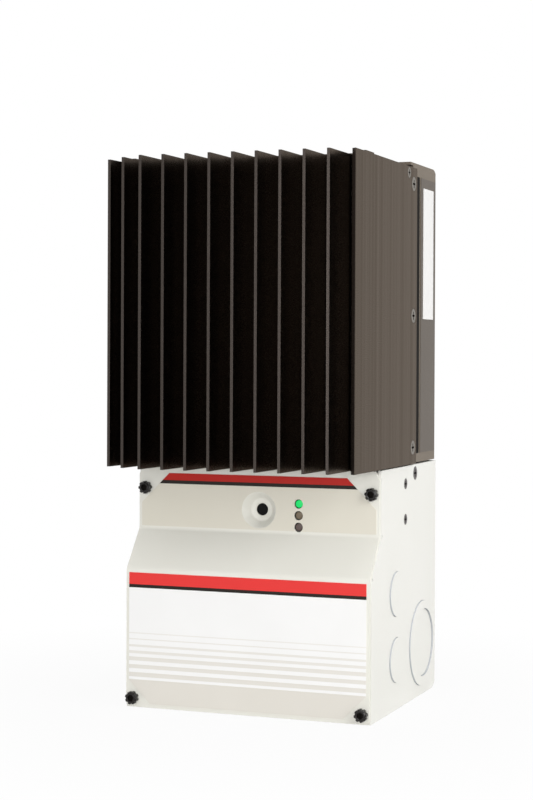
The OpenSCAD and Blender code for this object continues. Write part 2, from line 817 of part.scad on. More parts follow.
// Cap screw with a fluted head and a hexagon socket, its head seated at y
module cover_screw(x, y, z) {
    flutes = 8;
    flute_d = cover_screw_head * 0.2;
    under = y - seat_gap;
    color(black_part) difference() {
        union() {
            rod_y(cover_screw_head, under - cover_screw_head_h, under, x, z);
            rod_y(cover_screw_d, under - sink_in, under + hole_reach, x, z);
        }
        for (k = [0 : flutes - 1])
            rod_y(flute_d, under - cover_screw_head_h - overcut, under - 0.5,
                  x + cover_screw_head / 2 * cos(k * 360 / flutes),
                  z + cover_screw_head / 2 * sin(k * 360 / flutes));
        translate([x, under - cover_screw_head_h / 2, z]) rotate([90, 0, 0])
            cylinder(d = cover_screw_d, h = cover_screw_head_h, $fn = 6);
    }
}

module cover_nuts() {
    half = min(nut_half, cover_screw_low - sheet_t - slip);
    color(zinc) for (s = [-1, 1], p = [[cover_up, cover_screw_hi], [cover_lo, cover_screw_low]])
        difference() {
            block([s > 0 ? cover_screw_x - nut_in : -nest_x, p[0] + flange_back, p[1] - half],
                  [s > 0 ? nest_x : nut_in - cover_screw_x, p[0] + flange_back + nut_t, p[1] + half]);
            cover_screw_holes(cover_screw_d + 0.2);
        }
}

// Control board and what it carries
module control_board() {
    half = board_w / 2;
    color(board_green) difference() {
        block([-half, board_y, board_z0], [half, board_y + board_t, board_z1]);
        board_holes(screw_clear);
    }
}

module board_holes(grow) {
    for (s = [-1, 1], z = [board_z0 + board_hole_in, board_z1 - board_hole_in])
        rod_y(small_screw_d + 2 * grow, board_y - overcut, bracket_y + sheet_t + overcut,
              s * (board_w / 2 - board_hole_in), z);
}

module board_standoffs() {
    d = 6;
    color(zinc) {
        difference() {
            for (s = [-1, 1], z = [board_z0 + board_hole_in, board_z1 - board_hole_in])
                rod_y(d, board_y + board_t, bracket_y, s * (board_w / 2 - board_hole_in), z);
            board_holes(0);
        }
        for (s = [-1, 1], z = [power_z0 + d, power_z1 - d])
            rod_y(d, web_y1, power_y, s * (power_board_w / 2 - d), z);
    }
}

switch_w = 12;
switch_d = 7;
stem_d = 3.4;
stem_len = 4;
switch_y = board_y - switch_d;
button_y = cover_up + dish_depth + 0.8;

module reset_switch() {
    color([0.20, 0.20, 0.21]) difference() {
        block([dish_x - switch_w / 2, switch_y, dish_z - switch_w / 2],
              [dish_x + switch_w / 2, board_y, dish_z + switch_w / 2]);
        rod_y(stem_d + 0.1, switch_y - overcut, switch_y + stem_len + button_travel + 0.5,
              dish_x, dish_z);
    }
}

module reset_button() {
    cap_y1 = switch_y - button_travel - sink_in;
    color(black_part) {
        rod_y(button_d, button_y, cap_y1, dish_x, dish_z);
        rod_y(stem_d, cap_y1 - sink_in, switch_y + stem_len, dish_x, dish_z);
    }
}

module lamp(z, tint) {
    foot_d = lamp_d + 0.8;
    color(tint) {
        rod_y(lamp_d, cover_up - film_t + lamp_recess, board_y - 2.5, lamp_x, z);
        rod_y(foot_d, board_y - 3, board_y, lamp_x, z);
    }
}

levers = 8;
lever_w = 1.3;
lever_h = 2;
lever_play = 0.1;
lever_left = 35.2;
lever_drop = 4;
lever_x0 = dish_x - lever_left - lever_pitch * (levers - 1) / 2;
lever_z0 = dish_z - lever_drop;
setting_d = 5;
setting_y = board_y - setting_d;

module setting_switch() {
    slot_h = lever_h + lever_travel + 2 * lever_play;
    color([0.15, 0.22, 0.55]) difference() {
        block([lever_x0 - lever_pitch, setting_y, lever_z0 - 2.6],
              [lever_x0 + lever_pitch * levers, board_y, lever_z0 + slot_h + 2.6]);
        for (k = [0 : levers - 1])
            centred(lever_x0 + k * lever_pitch, setting_y + 0.8, lever_z0,
                    lever_w + 2 * lever_play, 3.6, slot_h);
    }
}

module setting_lever(k) {
    x = lever_x0 + (k - 1) * lever_pitch;
    color("white") block([x - lever_w / 2, setting_y - 1, lever_z0 + lever_play],
                         [x + lever_w / 2, setting_y + 2.5, lever_z0 + lever_play + lever_h]);
}

jack_in = 19;
jack_x = board_w / 2 - jack_in;
jack_w = 14;
jack_h = 16;
jack_d = 13;
jack_wall = 2;

module meter_jack() {
    half = jack_w / 2;
    y0 = board_y - jack_d;
    color([0.18, 0.18, 0.18]) difference() {
        block([jack_x - half, y0, board_z0], [jack_x + half, board_y, board_z0 + jack_h]);
        block([jack_x - half + jack_wall, y0 + jack_wall, board_z0 - overcut],
              [jack_x + half - jack_wall, board_y - jack_wall, board_z0 + jack_h - jack_wall]);
    }
}

port_right = 6.8;
port_x = dish_x + port_right;
port_flange = [31, 11, 1.6];
port_shell = [17, 8, 6];
port_body_h = 10;
nut_d = 5;
nut_span = 25;

module serial_port() {
    y_mid = board_y - port_flange[1] / 2;
    color(zinc) {
        centred(port_x, y_mid, board_z0, port_flange[0], port_flange[1], port_flange[2]);
        centred(port_x, y_mid, board_z0 - port_shell[2], port_shell[0], port_shell[1],
                port_shell[2] + sink_in);
        centred(port_x, y_mid, board_z0 + port_flange[2] - sink_in, port_shell[0] + 2, port_flange[1],
                port_body_h);
        for (s = [-1, 1]) translate([port_x + s * nut_span / 2, y_mid, board_z0 - 4])
            cylinder(d = nut_d, h = 4 + sink_in, $fn = 6);
    }
}

module centred(x, y, z, w, d, h) {
    translate([x - w / 2, y - d / 2, z]) cube([w, d, h]);
}

signals = 4;
signal_in = 4.38;
signal_x0 = signal_in - board_w / 2;
signal_d = 10;
signal_h = 12;
signal_y = board_y - signal_d;
signal_rise = 7;
signal_z = board_z0 + signal_rise;
signal_depth = 5;

module signal_terminal() {
    color([0.10, 0.42, 0.24]) difference() {
        block([signal_x0 - signal_pitch / 2 - 0.6, signal_y, board_z0],
              [signal_x0 + signal_pitch * (signals - 0.5) + 0.6, board_y, board_z0 + signal_h]);
        for (k = [0 : signals - 1]) {
            x = signal_x0 + k * signal_pitch;
            rod_y(signal_screw_d + 0.2, signal_y - overcut, signal_y + signal_depth, x, signal_z);
            centred(x, signal_y + signal_depth + 2.5, board_z0 - overcut, 3.2, 3.2, 8 + overcut);
        }
    }
}

module signal_screw(k) {
    x = signal_x0 + (k - 1) * signal_pitch;
    y0 = signal_y + 0.3;
    color(zinc) difference() {
        rod_y(signal_screw_d, y0, signal_y + signal_depth - 0.2, x, signal_z);
        block([x - signal_screw_d, y0 - overcut, signal_z - 0.3],
              [x + signal_screw_d, y0 + 0.8, signal_z + 0.3]);
    }
}

// Power terminals: each screw turns in the block and pulls its clamp towards the front
module power_terminal() {
    color(black_part) difference() {
        block([-term_w / 2, term_y, term_z0], [term_w / 2, term_y + term_d, term_z1]);
        for (k = [1 : poles]) pole_cavity(pole_x(k));
    }
}

module pole_cavity(x) {
    half = clamp_x + run_gap;
    rod_y(power_screw_head + 0.4, term_y - overcut, term_y + front_wall + sink_in, x, power_screw_z);
    block([x - half, term_y + front_wall, clamp_z0 - run_gap],
          [x + half, cavity_y1, clamp_z0 + clamp_h + run_gap]);
    block([x - wire_w / 2, bar_y + bar_t, term_z0 - overcut],
          [x + wire_w / 2, bar_y + bar_t + wire_gap, clamp_z0]);
    bar_slot(x, clamp_z0 + clamp_h, term_z1 + overcut);
}

module bar_slot(x, z0, z1) {
    half = bar_w / 2 + 0.2;
    block([x - half, bar_y - 0.2, z0], [x + half, bar_y + bar_t + 0.2, z1]);
}

module power_screw(k) {
    x = pole_x(k);
    y0 = term_y + head_in;
    color(zinc) difference() {
        union() {
            rod_y(power_screw_head, y0, y0 + head_h, x, power_screw_z);
            rod_y(power_screw_d, y0 + head_h - sink_in, bar_y - 0.1, x, power_screw_z);
        }
        translate([x, y0 + head_h - 1, power_screw_z]) rotate([90, 0, 0])
            cylinder(d = power_screw_head * 0.55, h = head_h, $fn = 6);
    }
}

module power_clamp(k) {
    x = pole_x(k);
    color(zinc) difference() {
        block([x - clamp_x, clamp_y, clamp_z0], [x + clamp_x, clamp_y + clamp_len, clamp_z0 + clamp_h]);
        block([x - wire_w / 2, clamp_y + clamp_wall, clamp_z0 - overcut],
              [x + wire_w / 2, clamp_y + clamp_len - clamp_wall, clamp_z0 + clamp_h + overcut]);
        rod_y(power_screw_d + 0.2, clamp_y - overcut, clamp_y + clamp_wall + overcut, x, power_screw_z);
    }
}

module bus_bars() {
    color(copper) for (k = [1 : poles]) {
        x = pole_x(k);
        block([x - bar_w / 2, bar_y, clamp_z0 + 1], [x + bar_w / 2, bar_y + bar_t, bar_z1]);
        block([x - bar_w / 2, power_back, bar_z1 - bar_t], [x + bar_w / 2, bar_y + bar_t, bar_z1]);
    }
}

module terminal_bracket() {
    color(zinc) difference() {
        union() {
            block([-nest_x, bracket_y, shelf_z], [nest_x, bracket_y + sheet_t, bracket_z1]);
            block([-nest_x, bracket_y, shelf_z], [nest_x, term_y + term_d, shelf_z + sheet_t]);
            for (s = [-1, 1])
                block([s > 0 ? nest_in : -nest_x, bracket_y, shelf_z],
                      [s > 0 ? nest_x : -nest_in, bracket_y + bracket_flange, bracket_z1]);
        }
        side_holes(box_screws, box_x, side_screw_len);
        board_holes(screw_clear);
        for (k = [1 : poles]) bar_slot(pole_x(k), shelf_z - overcut, shelf_z + sheet_t + overcut);
    }
}

// Power stage behind the web
module power_board() {
    half = power_board_w / 2;
    color(board_green) block([-half, power_y, power_z0], [half, power_back, power_z1]);
}

transistors = 6;
transistor = [15.9, 5, 20.8];
transistor_pitch = 18;
lead_drop = 4;
lead_pitch = 5.4;
transistor_z = sink_z1 - transistor_drop;

module power_transistors() {
    lead = 1.2;
    lead_y = web_y1 + transistor[1] / 2;
    lead_z = transistor_z - lead_drop;
    color(black_part) for (k = [0 : transistors - 1]) {
        x = (k - (transistors - 1) / 2) * transistor_pitch;
        block([x - transistor[0] / 2, web_y1, transistor_z],
              [x + transistor[0] / 2, web_y1 + transistor[1], transistor_z + transistor[2]]);
        for (p = [-lead_pitch, 0, lead_pitch]) {
            block([x + p - lead / 2, lead_y, lead_z],
                  [x + p + lead / 2, lead_y + lead / 2, transistor_z + sink_in]);
            block([x + p - lead / 2, lead_y, lead_z], [x + p + lead / 2, power_y, lead_z + lead / 2]);
        }
    }
}

core_x = power_board_w / 4;
core_z = sink_z1 - core_drop;
winding_play = 0.2;
winding_h = core_h + 2 * (winding_t + winding_play);

// Stands its children on the power board, with their own Z pointing to the back
module on_power_board(x, z) {
    translate([x, power_back, z]) rotate([-90, 0, 0]) children();
}

module inductor_cores() {
    color([0.28, 0.27, 0.24]) for (s = [-1, 1])
        on_power_board(s * core_x, core_z) translate([0, 0, winding_t + winding_play]) difference() {
            cylinder(d = core_d, h = core_h, $fn = fine);
            translate([0, 0, -overcut]) cylinder(d = core_bore, h = core_h + 2 * overcut, $fn = fine);
        }
}

module inductor_windings() {
    bore = core_bore / 2 - winding_play;
    rim = core_d / 2 + winding_play;
    color(copper) for (s = [-1, 1])
        on_power_board(s * core_x, core_z) rotate_extrude(angle = 300, $fn = fine) difference() {
            translate([bore - winding_t, 0]) square([rim - bore + 2 * winding_t, winding_h]);
            translate([bore, winding_t]) square([rim - bore, winding_h - 2 * winding_t]);
        }
}

cap_space = 3;
cap_rise = 16;

module capacitors() {
    count = 5;
    color([0.12, 0.12, 0.16]) for (k = [0 : count - 1])
        on_power_board((k - (count - 1) / 2) * (cap_d + cap_space), power_z0 + cap_rise + cap_d / 2)
            cylinder(d = cap_d, h = cap_len, $fn = fine);
}

// Ground lug on the back wall
lug = [12, 12, 14];
lug_in = 12;
lug_x = lug_in - box_in;
lug_z = 22;
lug_y0 = y_back - sheet_t - lug[1];
lug_bore = 6.5;
lug_wall = 1;
lug_screw_d = 5;
lug_depth = 4;

module ground_lug() {
    color([0.80, 0.62, 0.32]) difference() {
        block([lug_x - lug[0] / 2, lug_y0, lug_z - lug[2] / 2],
              [lug_x + lug[0] / 2, lug_y0 + lug[1], lug_z + lug[2] / 2]);
        translate([lug_x, lug_y0 + lug[1] - lug_bore / 2 - lug_wall, lug_z - lug[2]])
            cylinder(d = lug_bore, h = 2 * lug[2], $fn = fine);
        rod_y(lug_screw_d + 0.2, lug_y0 - overcut, lug_y0 + lug_depth + overcut, lug_x, lug_z);
    }
}

module ground_screw() {
    head_d = 8;
    head_t = 3;
    y0 = lug_y0 - sink_in;
    color([0.20, 0.50, 0.28]) difference() {
        union() {
            rod_y(head_d, y0 - head_t, y0, lug_x, lug_z);
            rod_y(lug_screw_d, y0 - sink_in, lug_y0 + lug_depth, lug_x, lug_z);
        }
        block([lug_x - head_d, y0 - head_t - overcut, lug_z - 0.5],
              [lug_x + head_d, y0 - head_t + 1.2, lug_z + 0.5]);
    }
}

heat_sink();
end_plate();
rear_chassis();
heat_sink_screws();
seam_gaskets();
side_label();
serial_sticker();
wiring_box();
wiring_box_screws();
small_knockouts();
large_knockouts();
box_cover();
upper_overlay();
lower_overlay();
cover_screw(-cover_screw_x, cover_up, cover_screw_hi);  // cover_screw_top_left
cover_screw(cover_screw_x, cover_up, cover_screw_hi);  // cover_screw_top_right
cover_screw(-cover_screw_x, cover_lo, cover_screw_low);  // cover_screw_bottom_left
cover_screw(cover_screw_x, cover_lo, cover_screw_low);  // cover_screw_bottom_right
cover_nuts();
control_board();
board_standoffs();
reset_switch();
reset_button();
lamp(lamp_z[0], [0.10, 0.85, 0.42]);  // green_lamp
lamp(lamp_z[1], [0.47, 0.42, 0.34]);  // yellow_lamp
lamp(lamp_z[2], [0.40, 0.34, 0.32]);  // red_lamp
setting_switch();
meter_jack();
serial_port();
signal_terminal();
power_terminal();
terminal_bracket();
bus_bars();
power_board();
power_transistors();
inductor_cores();
inductor_windings();
capacitors();
ground_lug();
ground_screw();
for (k = [1 : levers]) setting_lever(k);
for (k = [1 : signals]) signal_screw(k);
for (k = [1 : poles]) power_screw(k);
for (k = [1 : poles]) power_clamp(k);
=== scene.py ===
"""Looks of a wall-mounted charge controller: finned heat sink over a white wiring box.

Metres, in the frame of the solids: X to the right, Y to the back, Z up.
"""

import json
import math

import bmesh
import bpy
from mathutils import Matrix, Vector

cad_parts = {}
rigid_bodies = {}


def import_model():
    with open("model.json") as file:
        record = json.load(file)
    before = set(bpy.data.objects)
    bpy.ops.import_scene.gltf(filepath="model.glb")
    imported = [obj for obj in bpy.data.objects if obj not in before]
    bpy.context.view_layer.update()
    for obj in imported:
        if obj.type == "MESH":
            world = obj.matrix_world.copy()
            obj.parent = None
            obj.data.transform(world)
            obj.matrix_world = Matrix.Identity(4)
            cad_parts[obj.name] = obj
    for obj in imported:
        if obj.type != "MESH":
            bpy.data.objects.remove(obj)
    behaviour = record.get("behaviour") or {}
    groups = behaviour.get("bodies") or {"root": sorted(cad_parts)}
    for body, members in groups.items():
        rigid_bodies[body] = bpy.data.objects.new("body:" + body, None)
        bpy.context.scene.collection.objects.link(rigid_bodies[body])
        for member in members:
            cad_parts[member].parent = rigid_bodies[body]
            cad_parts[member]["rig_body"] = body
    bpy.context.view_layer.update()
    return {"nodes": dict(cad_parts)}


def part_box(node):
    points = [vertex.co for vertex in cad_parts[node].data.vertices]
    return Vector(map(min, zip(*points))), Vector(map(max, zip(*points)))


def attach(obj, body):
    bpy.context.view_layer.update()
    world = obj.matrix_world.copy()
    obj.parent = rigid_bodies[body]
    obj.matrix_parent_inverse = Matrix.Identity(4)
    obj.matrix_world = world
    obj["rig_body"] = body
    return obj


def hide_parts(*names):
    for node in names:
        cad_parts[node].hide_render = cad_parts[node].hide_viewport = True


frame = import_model()

MM = 0.001
MERGE = 2e-6        # corners closer than this are one corner
SHARP_ANGLE = 35    # edges that turn more than this, in degrees, count as sharp
FLAT_ANGLE = 0.2    # faces that turn less than this, in degrees, are one face

# Planes of the solids that the new pieces are set against
COVER_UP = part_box("upper_overlay")[1].y
COVER_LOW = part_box("lower_overlay")[1].y
BOARD_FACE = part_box("control_board")[0].y


# Working by hand: selecting, shaping and finishing a piece

def put_down():
    """Leaves edit mode and lets go of everything."""
    if bpy.context.object is not None and bpy.context.object.mode != "OBJECT":
        bpy.ops.object.mode_set(mode="OBJECT")
    bpy.ops.object.select_all(action="DESELECT")


def pick_up(piece):
    put_down()
    piece.select_set(True)
    bpy.context.view_layer.objects.active = piece


def open_up(piece, kind="FACE"):
    """Enters edit mode with nothing selected."""
    pick_up(piece)
    bpy.ops.object.mode_set(mode="EDIT")
    bpy.ops.mesh.select_mode(type=kind)
    bpy.ops.mesh.select_all(action="DESELECT")


def choose_faces(piece, wanted):
    """Selects the faces whose middle and normal the test accepts."""
    shape = bmesh.from_edit_mesh(piece.data)
    for face in shape.faces:
        face.select_set(bool(wanted(face.calc_center_median(), face.normal)))
    bmesh.update_edit_mesh(piece.data)


def choose_edges(piece, wanted):
    """Selects the edges whose two ends the test accepts."""
    shape = bmesh.from_edit_mesh(piece.data)
    for edge in shape.edges:
        edge.select_set(bool(wanted(edge.verts[0].co, edge.verts[1].co)))
    shape.select_flush_mode()
    bmesh.update_edit_mesh(piece.data)


def settle(piece, name):
    """Puts the place of a piece into its mesh and names it."""
    pick_up(piece)
    bpy.ops.object.transform_apply(location=True, rotation=True, scale=True)
    piece.name = name
    piece.data.name = name
    return piece


def draw_out(step):
    """Extrudes what is selected by one step."""
    bpy.ops.mesh.extrude_region_move(TRANSFORM_OT_translate={"value": step})


def round_edges(piece, width, steps=2, angle=SHARP_ANGLE):
    """Rounds the sharp edges and smooths the shading over them."""
    pick_up(piece)
    bpy.ops.object.modifier_add(type="BEVEL")
    bevel = piece.modifiers[-1]
    bevel.width = width
    bevel.segments = steps
    bevel.limit_method = "ANGLE"
    bevel.angle_limit = math.radians(angle)
    bpy.ops.object.modifier_apply(modifier=bevel.name)
    bpy.ops.object.shade_smooth_by_angle(angle=math.radians(angle))
    bpy.ops.object.modifier_add(type="WEIGHTED_NORMAL")
    weights = piece.modifiers[-1]
    weights.keep_sharp = True
    bpy.ops.object.modifier_apply(modifier=weights.name)
    return piece


def cut_out(piece, cutter):
    """Cuts one piece out of another and throws the cutter away."""
    pick_up(piece)
    bpy.ops.object.modifier_add(type="BOOLEAN")
    cut = piece.modifiers[-1]
    cut.operation = "DIFFERENCE"
    cut.solver = "EXACT"
    cut.object = cutter
    bpy.ops.object.modifier_apply(modifier=cut.name)
    bpy.data.objects.remove(cutter)


def join(pieces, name):
    """Makes one piece of several."""
    put_down()
    for piece in pieces:
        piece.select_set(True)
    bpy.context.view_layer.objects.active = pieces[0]
    bpy.ops.object.join()
    return settle(bpy.context.object, name)


def another(piece, name, move, turn=0.0):
    """A copy with its own mesh, turned about the Y axis of the frame and then moved."""
    mesh = piece.data.copy()
    if turn:
        mesh.transform(Matrix.Rotation(turn, 4, "Y"))
    mesh.transform(Matrix.Translation(move))
    copy = bpy.data.objects.new(name, mesh)
    mesh.name = name
    bpy.context.scene.collection.objects.link(copy)
    return copy


def block(name, low, high, edge=0.0):
    """A cube drawn to two corners, with rounded edges."""
    put_down()
    low, high = Vector(low), Vector(high)
    bpy.ops.mesh.primitive_cube_add(size=1, location=(low + high) / 2)
    piece = bpy.context.object
    piece.scale = high - low
    settle(piece, name)
    return round_edges(piece, edge) if edge else piece


def turned(name, centre, section, steps=48):
    """A body turned about a Y axis: section holds (radius, distance along Y) points."""
    put_down()
    centre = Vector(centre)
    radius, along = section[0]
    bpy.ops.mesh.primitive_plane_add(size=MM, location=centre + Vector((radius, along, 0)))
    piece = settle(bpy.context.object, name)
    open_up(piece, "VERT")
    bpy.ops.mesh.select_all(action="SELECT")
    bpy.ops.mesh.merge(type="CENTER")
    for next_radius, next_along in section[1:]:
        draw_out((next_radius - radius, next_along - along, 0))
        radius, along = next_radius, next_along
    bpy.ops.mesh.select_all(action="SELECT")
    bpy.ops.mesh.spin(steps=steps, angle=math.tau, center=centre, axis=(0, 1, 0))
    bpy.ops.mesh.select_all(action="SELECT")
    bpy.ops.mesh.remove_doubles(threshold=MERGE)
    bpy.ops.mesh.normals_make_consistent(inside=False)
    put_down()
    return piece


def smooth(piece, angle=SHARP_ANGLE):
    pick_up(piece)
    bpy.ops.object.shade_smooth_by_angle(angle=math.radians(angle))
    return piece


def millimetres(points):
    """A section drawn in millimetres, in metres."""
    return [(a * MM, b * MM) for a, b in points]


# Finishes

def start_finish(name, metal=0.0, gloss=0.5):
    """A material with its shader, and the place on the object as a coordinate."""
    made = bpy.data.materials.new(name)
    made.use_nodes = True
    shader = made.node_tree.nodes["Principled BSDF"]
    shader.inputs["Metallic"].default_value = metal
    shader.inputs["Specular IOR Level"].default_value = gloss
    place = made.node_tree.nodes.new("ShaderNodeTexCoord").outputs["Object"]
    return made, made.node_tree.nodes, made.node_tree.links, shader, place


def grain(nodes, links, place, scale, detail=3.0):
    """A noise over the object; scale holds its grains per metre along X, Y and Z."""
    stretch = nodes.new("ShaderNodeMapping")
    stretch.inputs["Scale"].default_value = scale
    links.new(place, stretch.inputs["Vector"])
    noise = nodes.new("ShaderNodeTexNoise")
    noise.inputs["Scale"].default_value = 1.0
    noise.inputs["Detail"].default_value = detail
    links.new(stretch.outputs["Vector"], noise.inputs["Vector"])
    return noise.outputs["Fac"]


def between(nodes, links, value, low, high, start=0.3, end=0.7):
    """Carries a value from one range to another."""
    change = nodes.new("ShaderNodeMapRange")
    change.inputs["From Min"].default_value = start
    change.inputs["From Max"].default_value = end
    change.inputs["To Min"].default_value = low
    change.inputs["To Max"].default_value = high
    links.new(value, change.inputs["Value"])
    return change.outputs["Result"]


def two_shades(nodes, links, share, first, second):
    """Mixes two colours, or two colour sockets, by a share from 0 to 1."""
    blend = nodes.new("ShaderNodeMix")
    blend.data_type = "RGBA"
    links.new(share, blend.inputs[0])
    for socket, shade in ((blend.inputs[6], first), (blend.inputs[7], second)):
        if isinstance(shade, tuple):
            socket.default_value = (*shade, 1)
        else:
            links.new(shade, socket)
    return blend.outputs[2]


def raised(nodes, links, shader, height, depth):
    """Fine relief on a surface, depth in metres."""
    relief = nodes.new("ShaderNodeBump")
    relief.inputs["Distance"].default_value = depth
    links.new(height, relief.inputs["Height"])
    links.new(relief.outputs["Normal"], shader.inputs["Normal"])


def even(count):
    """The same count along X, Y and Z."""
    return (count, count, count)


def plain_finish(name, shade, worn, scale, rough, depth, metal=0.0, gloss=0.5, cloud=18.0):
    """A finish with fine relief, slow changes of shade and a changing gloss."""
    made, nodes, links, shader, place = start_finish(name, metal, gloss)
    fine = grain(nodes, links, place, scale)
    slow = grain(nodes, links, place, even(cloud), 2.0)
    colour = two_shades(nodes, links, between(nodes, links, slow, 0, 1), shade, worn)
    links.new(colour, shader.inputs["Base Color"])
    links.new(between(nodes, links, fine, *rough), shader.inputs["Roughness"])
    raised(nodes, links, shader, fine, depth)
    return made


STREAK_TINT = 0.87    # the edge tint of a dark streak, as a share of the edge tint beside it


def anodised_finish(name, shade, worn, edge_tint, rough):
    """Dyed anodising over metal: broad streaks and fine die lines, both running up the profile."""
    made, nodes, links, shader, place = start_finish(name, 1.0)
    lines = grain(nodes, links, place, (620, 620, 4), 4.0)
    broad = grain(nodes, links, place, (380, 380, 0.8), 4.0)
    speck = grain(nodes, links, place, even(2600), 2.0)
    streak = between(nodes, links, broad, 0, 1, 0.32, 0.68)
    colour = two_shades(nodes, links, streak, shade, worn)
    links.new(colour, shader.inputs["Base Color"])
    streak_tint = tuple(STREAK_TINT * part for part in edge_tint)
    tint = two_shades(nodes, links, streak, edge_tint, streak_tint)
    links.new(tint, shader.inputs["Specular Tint"])
    links.new(between(nodes, links, speck, *rough), shader.inputs["Roughness"])
    raised(nodes, links, shader, lines, 0.00002)
    return made


FILM_GLOSS = 0.15
FILM_ROUGH = (0.36, 0.46)
FULL_PRINT = (1, 1, 1)
THIN_PRINT = (0.975, 0.975, 0.97)


def printed_film(name, bottom, bands, low, high):
    """A film printed in level bands: each band is (height it starts at, colour)."""
    made, nodes, links, shader, place = start_finish(name, 0.0, FILM_GLOSS)
    parts = nodes.new("ShaderNodeSeparateXYZ")
    links.new(place, parts.inputs["Vector"])
    level = between(nodes, links, parts.outputs["Z"], 0, 1, low, high)
    print_run = nodes.new("ShaderNodeValToRGB")
    print_run.color_ramp.interpolation = "CONSTANT"
    stops = print_run.color_ramp.elements
    stops[0].position = 0
    stops[0].color = (*bottom, 1)
    stops.remove(stops[1])
    for height, colour in bands:
        stop = stops.new((height - low) / (high - low))
        stop.color = (*colour, 1)
    links.new(level, print_run.inputs["Fac"])
    tone = nodes.new("ShaderNodeMix")
    tone.data_type = "RGBA"
    tone.blend_type = "MULTIPLY"
    tone.inputs[0].default_value = 1
    slow = grain(nodes, links, place, even(30), 2.0)
    links.new(print_run.outputs["Color"], tone.inputs[6])
    share = between(nodes, links, slow, 0, 1)
    shade = two_shades(nodes, links, share, FULL_PRINT, THIN_PRINT)
    links.new(shade, tone.inputs[7])
    links.new(tone.outputs[2], shader.inputs["Base Color"])
    fine = grain(nodes, links, place, even(3500), 2.0)
    links.new(between(nodes, links, fine, *FILM_ROUGH), shader.inputs["Roughness"])
    raised(nodes, links, shader, fine, 0.000006)
    return made


def circuit_finish(name, mask, track, pad):
    """Solder mask with lighter tracks and tinned pads."""
    made, nodes, links, shader, place = start_finish(name)
    cells = nodes.new("ShaderNodeTexVoronoi")
    cells.feature = "DISTANCE_TO_EDGE"
    cells.inputs["Scale"].default_value = 230
    cells.inputs["Randomness"].default_value = 0.55
    links.new(place, cells.inputs["Vector"])
    tracks = between(nodes, links, cells.outputs["Distance"], 1, 0, 0.06, 0.09)
    dots = nodes.new("ShaderNodeTexVoronoi")
    dots.inputs["Scale"].default_value = 190
    dots.inputs["Randomness"].default_value = 0.8
    links.new(place, dots.inputs["Vector"])
    pads = between(nodes, links, dots.outputs["Distance"], 1, 0, 0.12, 0.16)
    lines = two_shades(nodes, links, tracks, mask, track)
    links.new(two_shades(nodes, links, pads, lines, pad), shader.inputs["Base Color"])
    links.new(between(nodes, links, pads, 0.42, 0.25, 0, 1), shader.inputs["Roughness"])
    raised(nodes, links, shader, tracks, 0.00004)
    return made


def lens_finish(name, shade, worn, glow=(0, 0, 0), strength=0.0):
    """A moulded lens in two close shades, lit from inside when strength is above 0."""
    made, nodes, links, shader, place = start_finish(name, 0.0, 0.2)
    slow = grain(nodes, links, place, even(900), 2.0)
    colour = two_shades(nodes, links, between(nodes, links, slow, 0, 1), shade, worn)
    links.new(colour, shader.inputs["Base Color"])
    links.new(between(nodes, links, slow, 0.2, 0.32), shader.inputs["Roughness"])
    shader.inputs["Emission Color"].default_value = (*glow, 1)
    shader.inputs["Emission Strength"].default_value = strength
    return made


# Colours of the print

BEIGE = (0.70, 0.672, 0.615)
WARM_BEIGE = (0.70, 0.668, 0.578)
WHITE_PRINT = (0.86, 0.856, 0.849)
RED_PRINT = (0.75, 0.043, 0.04)
DEEP_RED = (0.48, 0.02, 0.014)
BLACK_PRINT = (0.016, 0.012, 0.009)


def paler(share):
    """The beige print, thinned towards white."""
    return tuple(w + (b - w) * share for w, b in zip(WHITE_PRINT, BEIGE))


# Heights in millimetres. The beige lines of the lower film: height of the middle, thickness,
# strength of the print
FILM_LINES = [(16.3, 2.2, 0.88), (20.2, 2.05, 0.84), (24.1, 1.8, 0.8), (27.4, 1.35, 0.72),
              (30.6, 1.1, 0.68), (33.75, 0.75, 0.6), (36.85, 0.5, 0.5)]
BEIGE_FOOT = 13.8
LOWER_BLACK, LOWER_RED = 59.3, 60.9
UPPER_BLACK, UPPER_RED = 110.0, 111.7
lower_bands = [(BEIGE_FOOT * MM, WHITE_PRINT)]
for middle, thick, strength in FILM_LINES:
    lower_bands.append(((middle - thick / 2) * MM, paler(strength)))
    lower_bands.append(((middle + thick / 2) * MM, WHITE_PRINT))
lower_bands += [(LOWER_BLACK * MM, BLACK_PRINT), (LOWER_RED * MM, RED_PRINT)]
upper_bands = [(UPPER_BLACK * MM, BLACK_PRINT), (UPPER_RED * MM, DEEP_RED)]

# Finishes: name, shade, second shade, grains per metre, range of roughness, depth of the relief

anodised = anodised_finish("brown_anodising", (0.057, 0.048, 0.0425), (0.05, 0.042, 0.037),
                           edge_tint=(0.822, 0.757, 0.694), rough=(0.23, 0.3))
tray_paint = plain_finish("brown_grey_paint", (0.15, 0.122, 0.092), (0.139, 0.113, 0.085),
                          even(1500), (0.42, 0.55), 0.000012, gloss=0.2)
label_film = plain_finish("dark_label_film", (0.088, 0.071, 0.055), (0.082, 0.066, 0.051),
                          even(2600), (0.38, 0.5), 0.000008, gloss=0.2)
sticker_paper = plain_finish("white_sticker_film", (0.74, 0.731, 0.72), (0.716, 0.707, 0.694),
                             even(3000), (0.4, 0.55), 0.000006)
white_paint = plain_finish("white_powder_paint", (0.73, 0.722, 0.682), (0.705, 0.70, 0.655),
                           even(1300), (0.38, 0.5), 0.000014, gloss=0.45)
# Painted shade: grey laid on the rims of the knockouts
painted_rim_shade = plain_finish("knockout_rim_painted_shade", (0.53, 0.548, 0.572), (0.5, 0.518, 0.542),
                             even(1300), (0.45, 0.6), 0.000014, gloss=0.2)
cover_paint = plain_finish("cream_powder_paint", (0.745, 0.735, 0.672), (0.72, 0.71, 0.645),
                           even(1300), (0.38, 0.5), 0.000014, gloss=0.45)
upper_print = printed_film("upper_film_print", WARM_BEIGE, upper_bands, 0.085, 0.12)
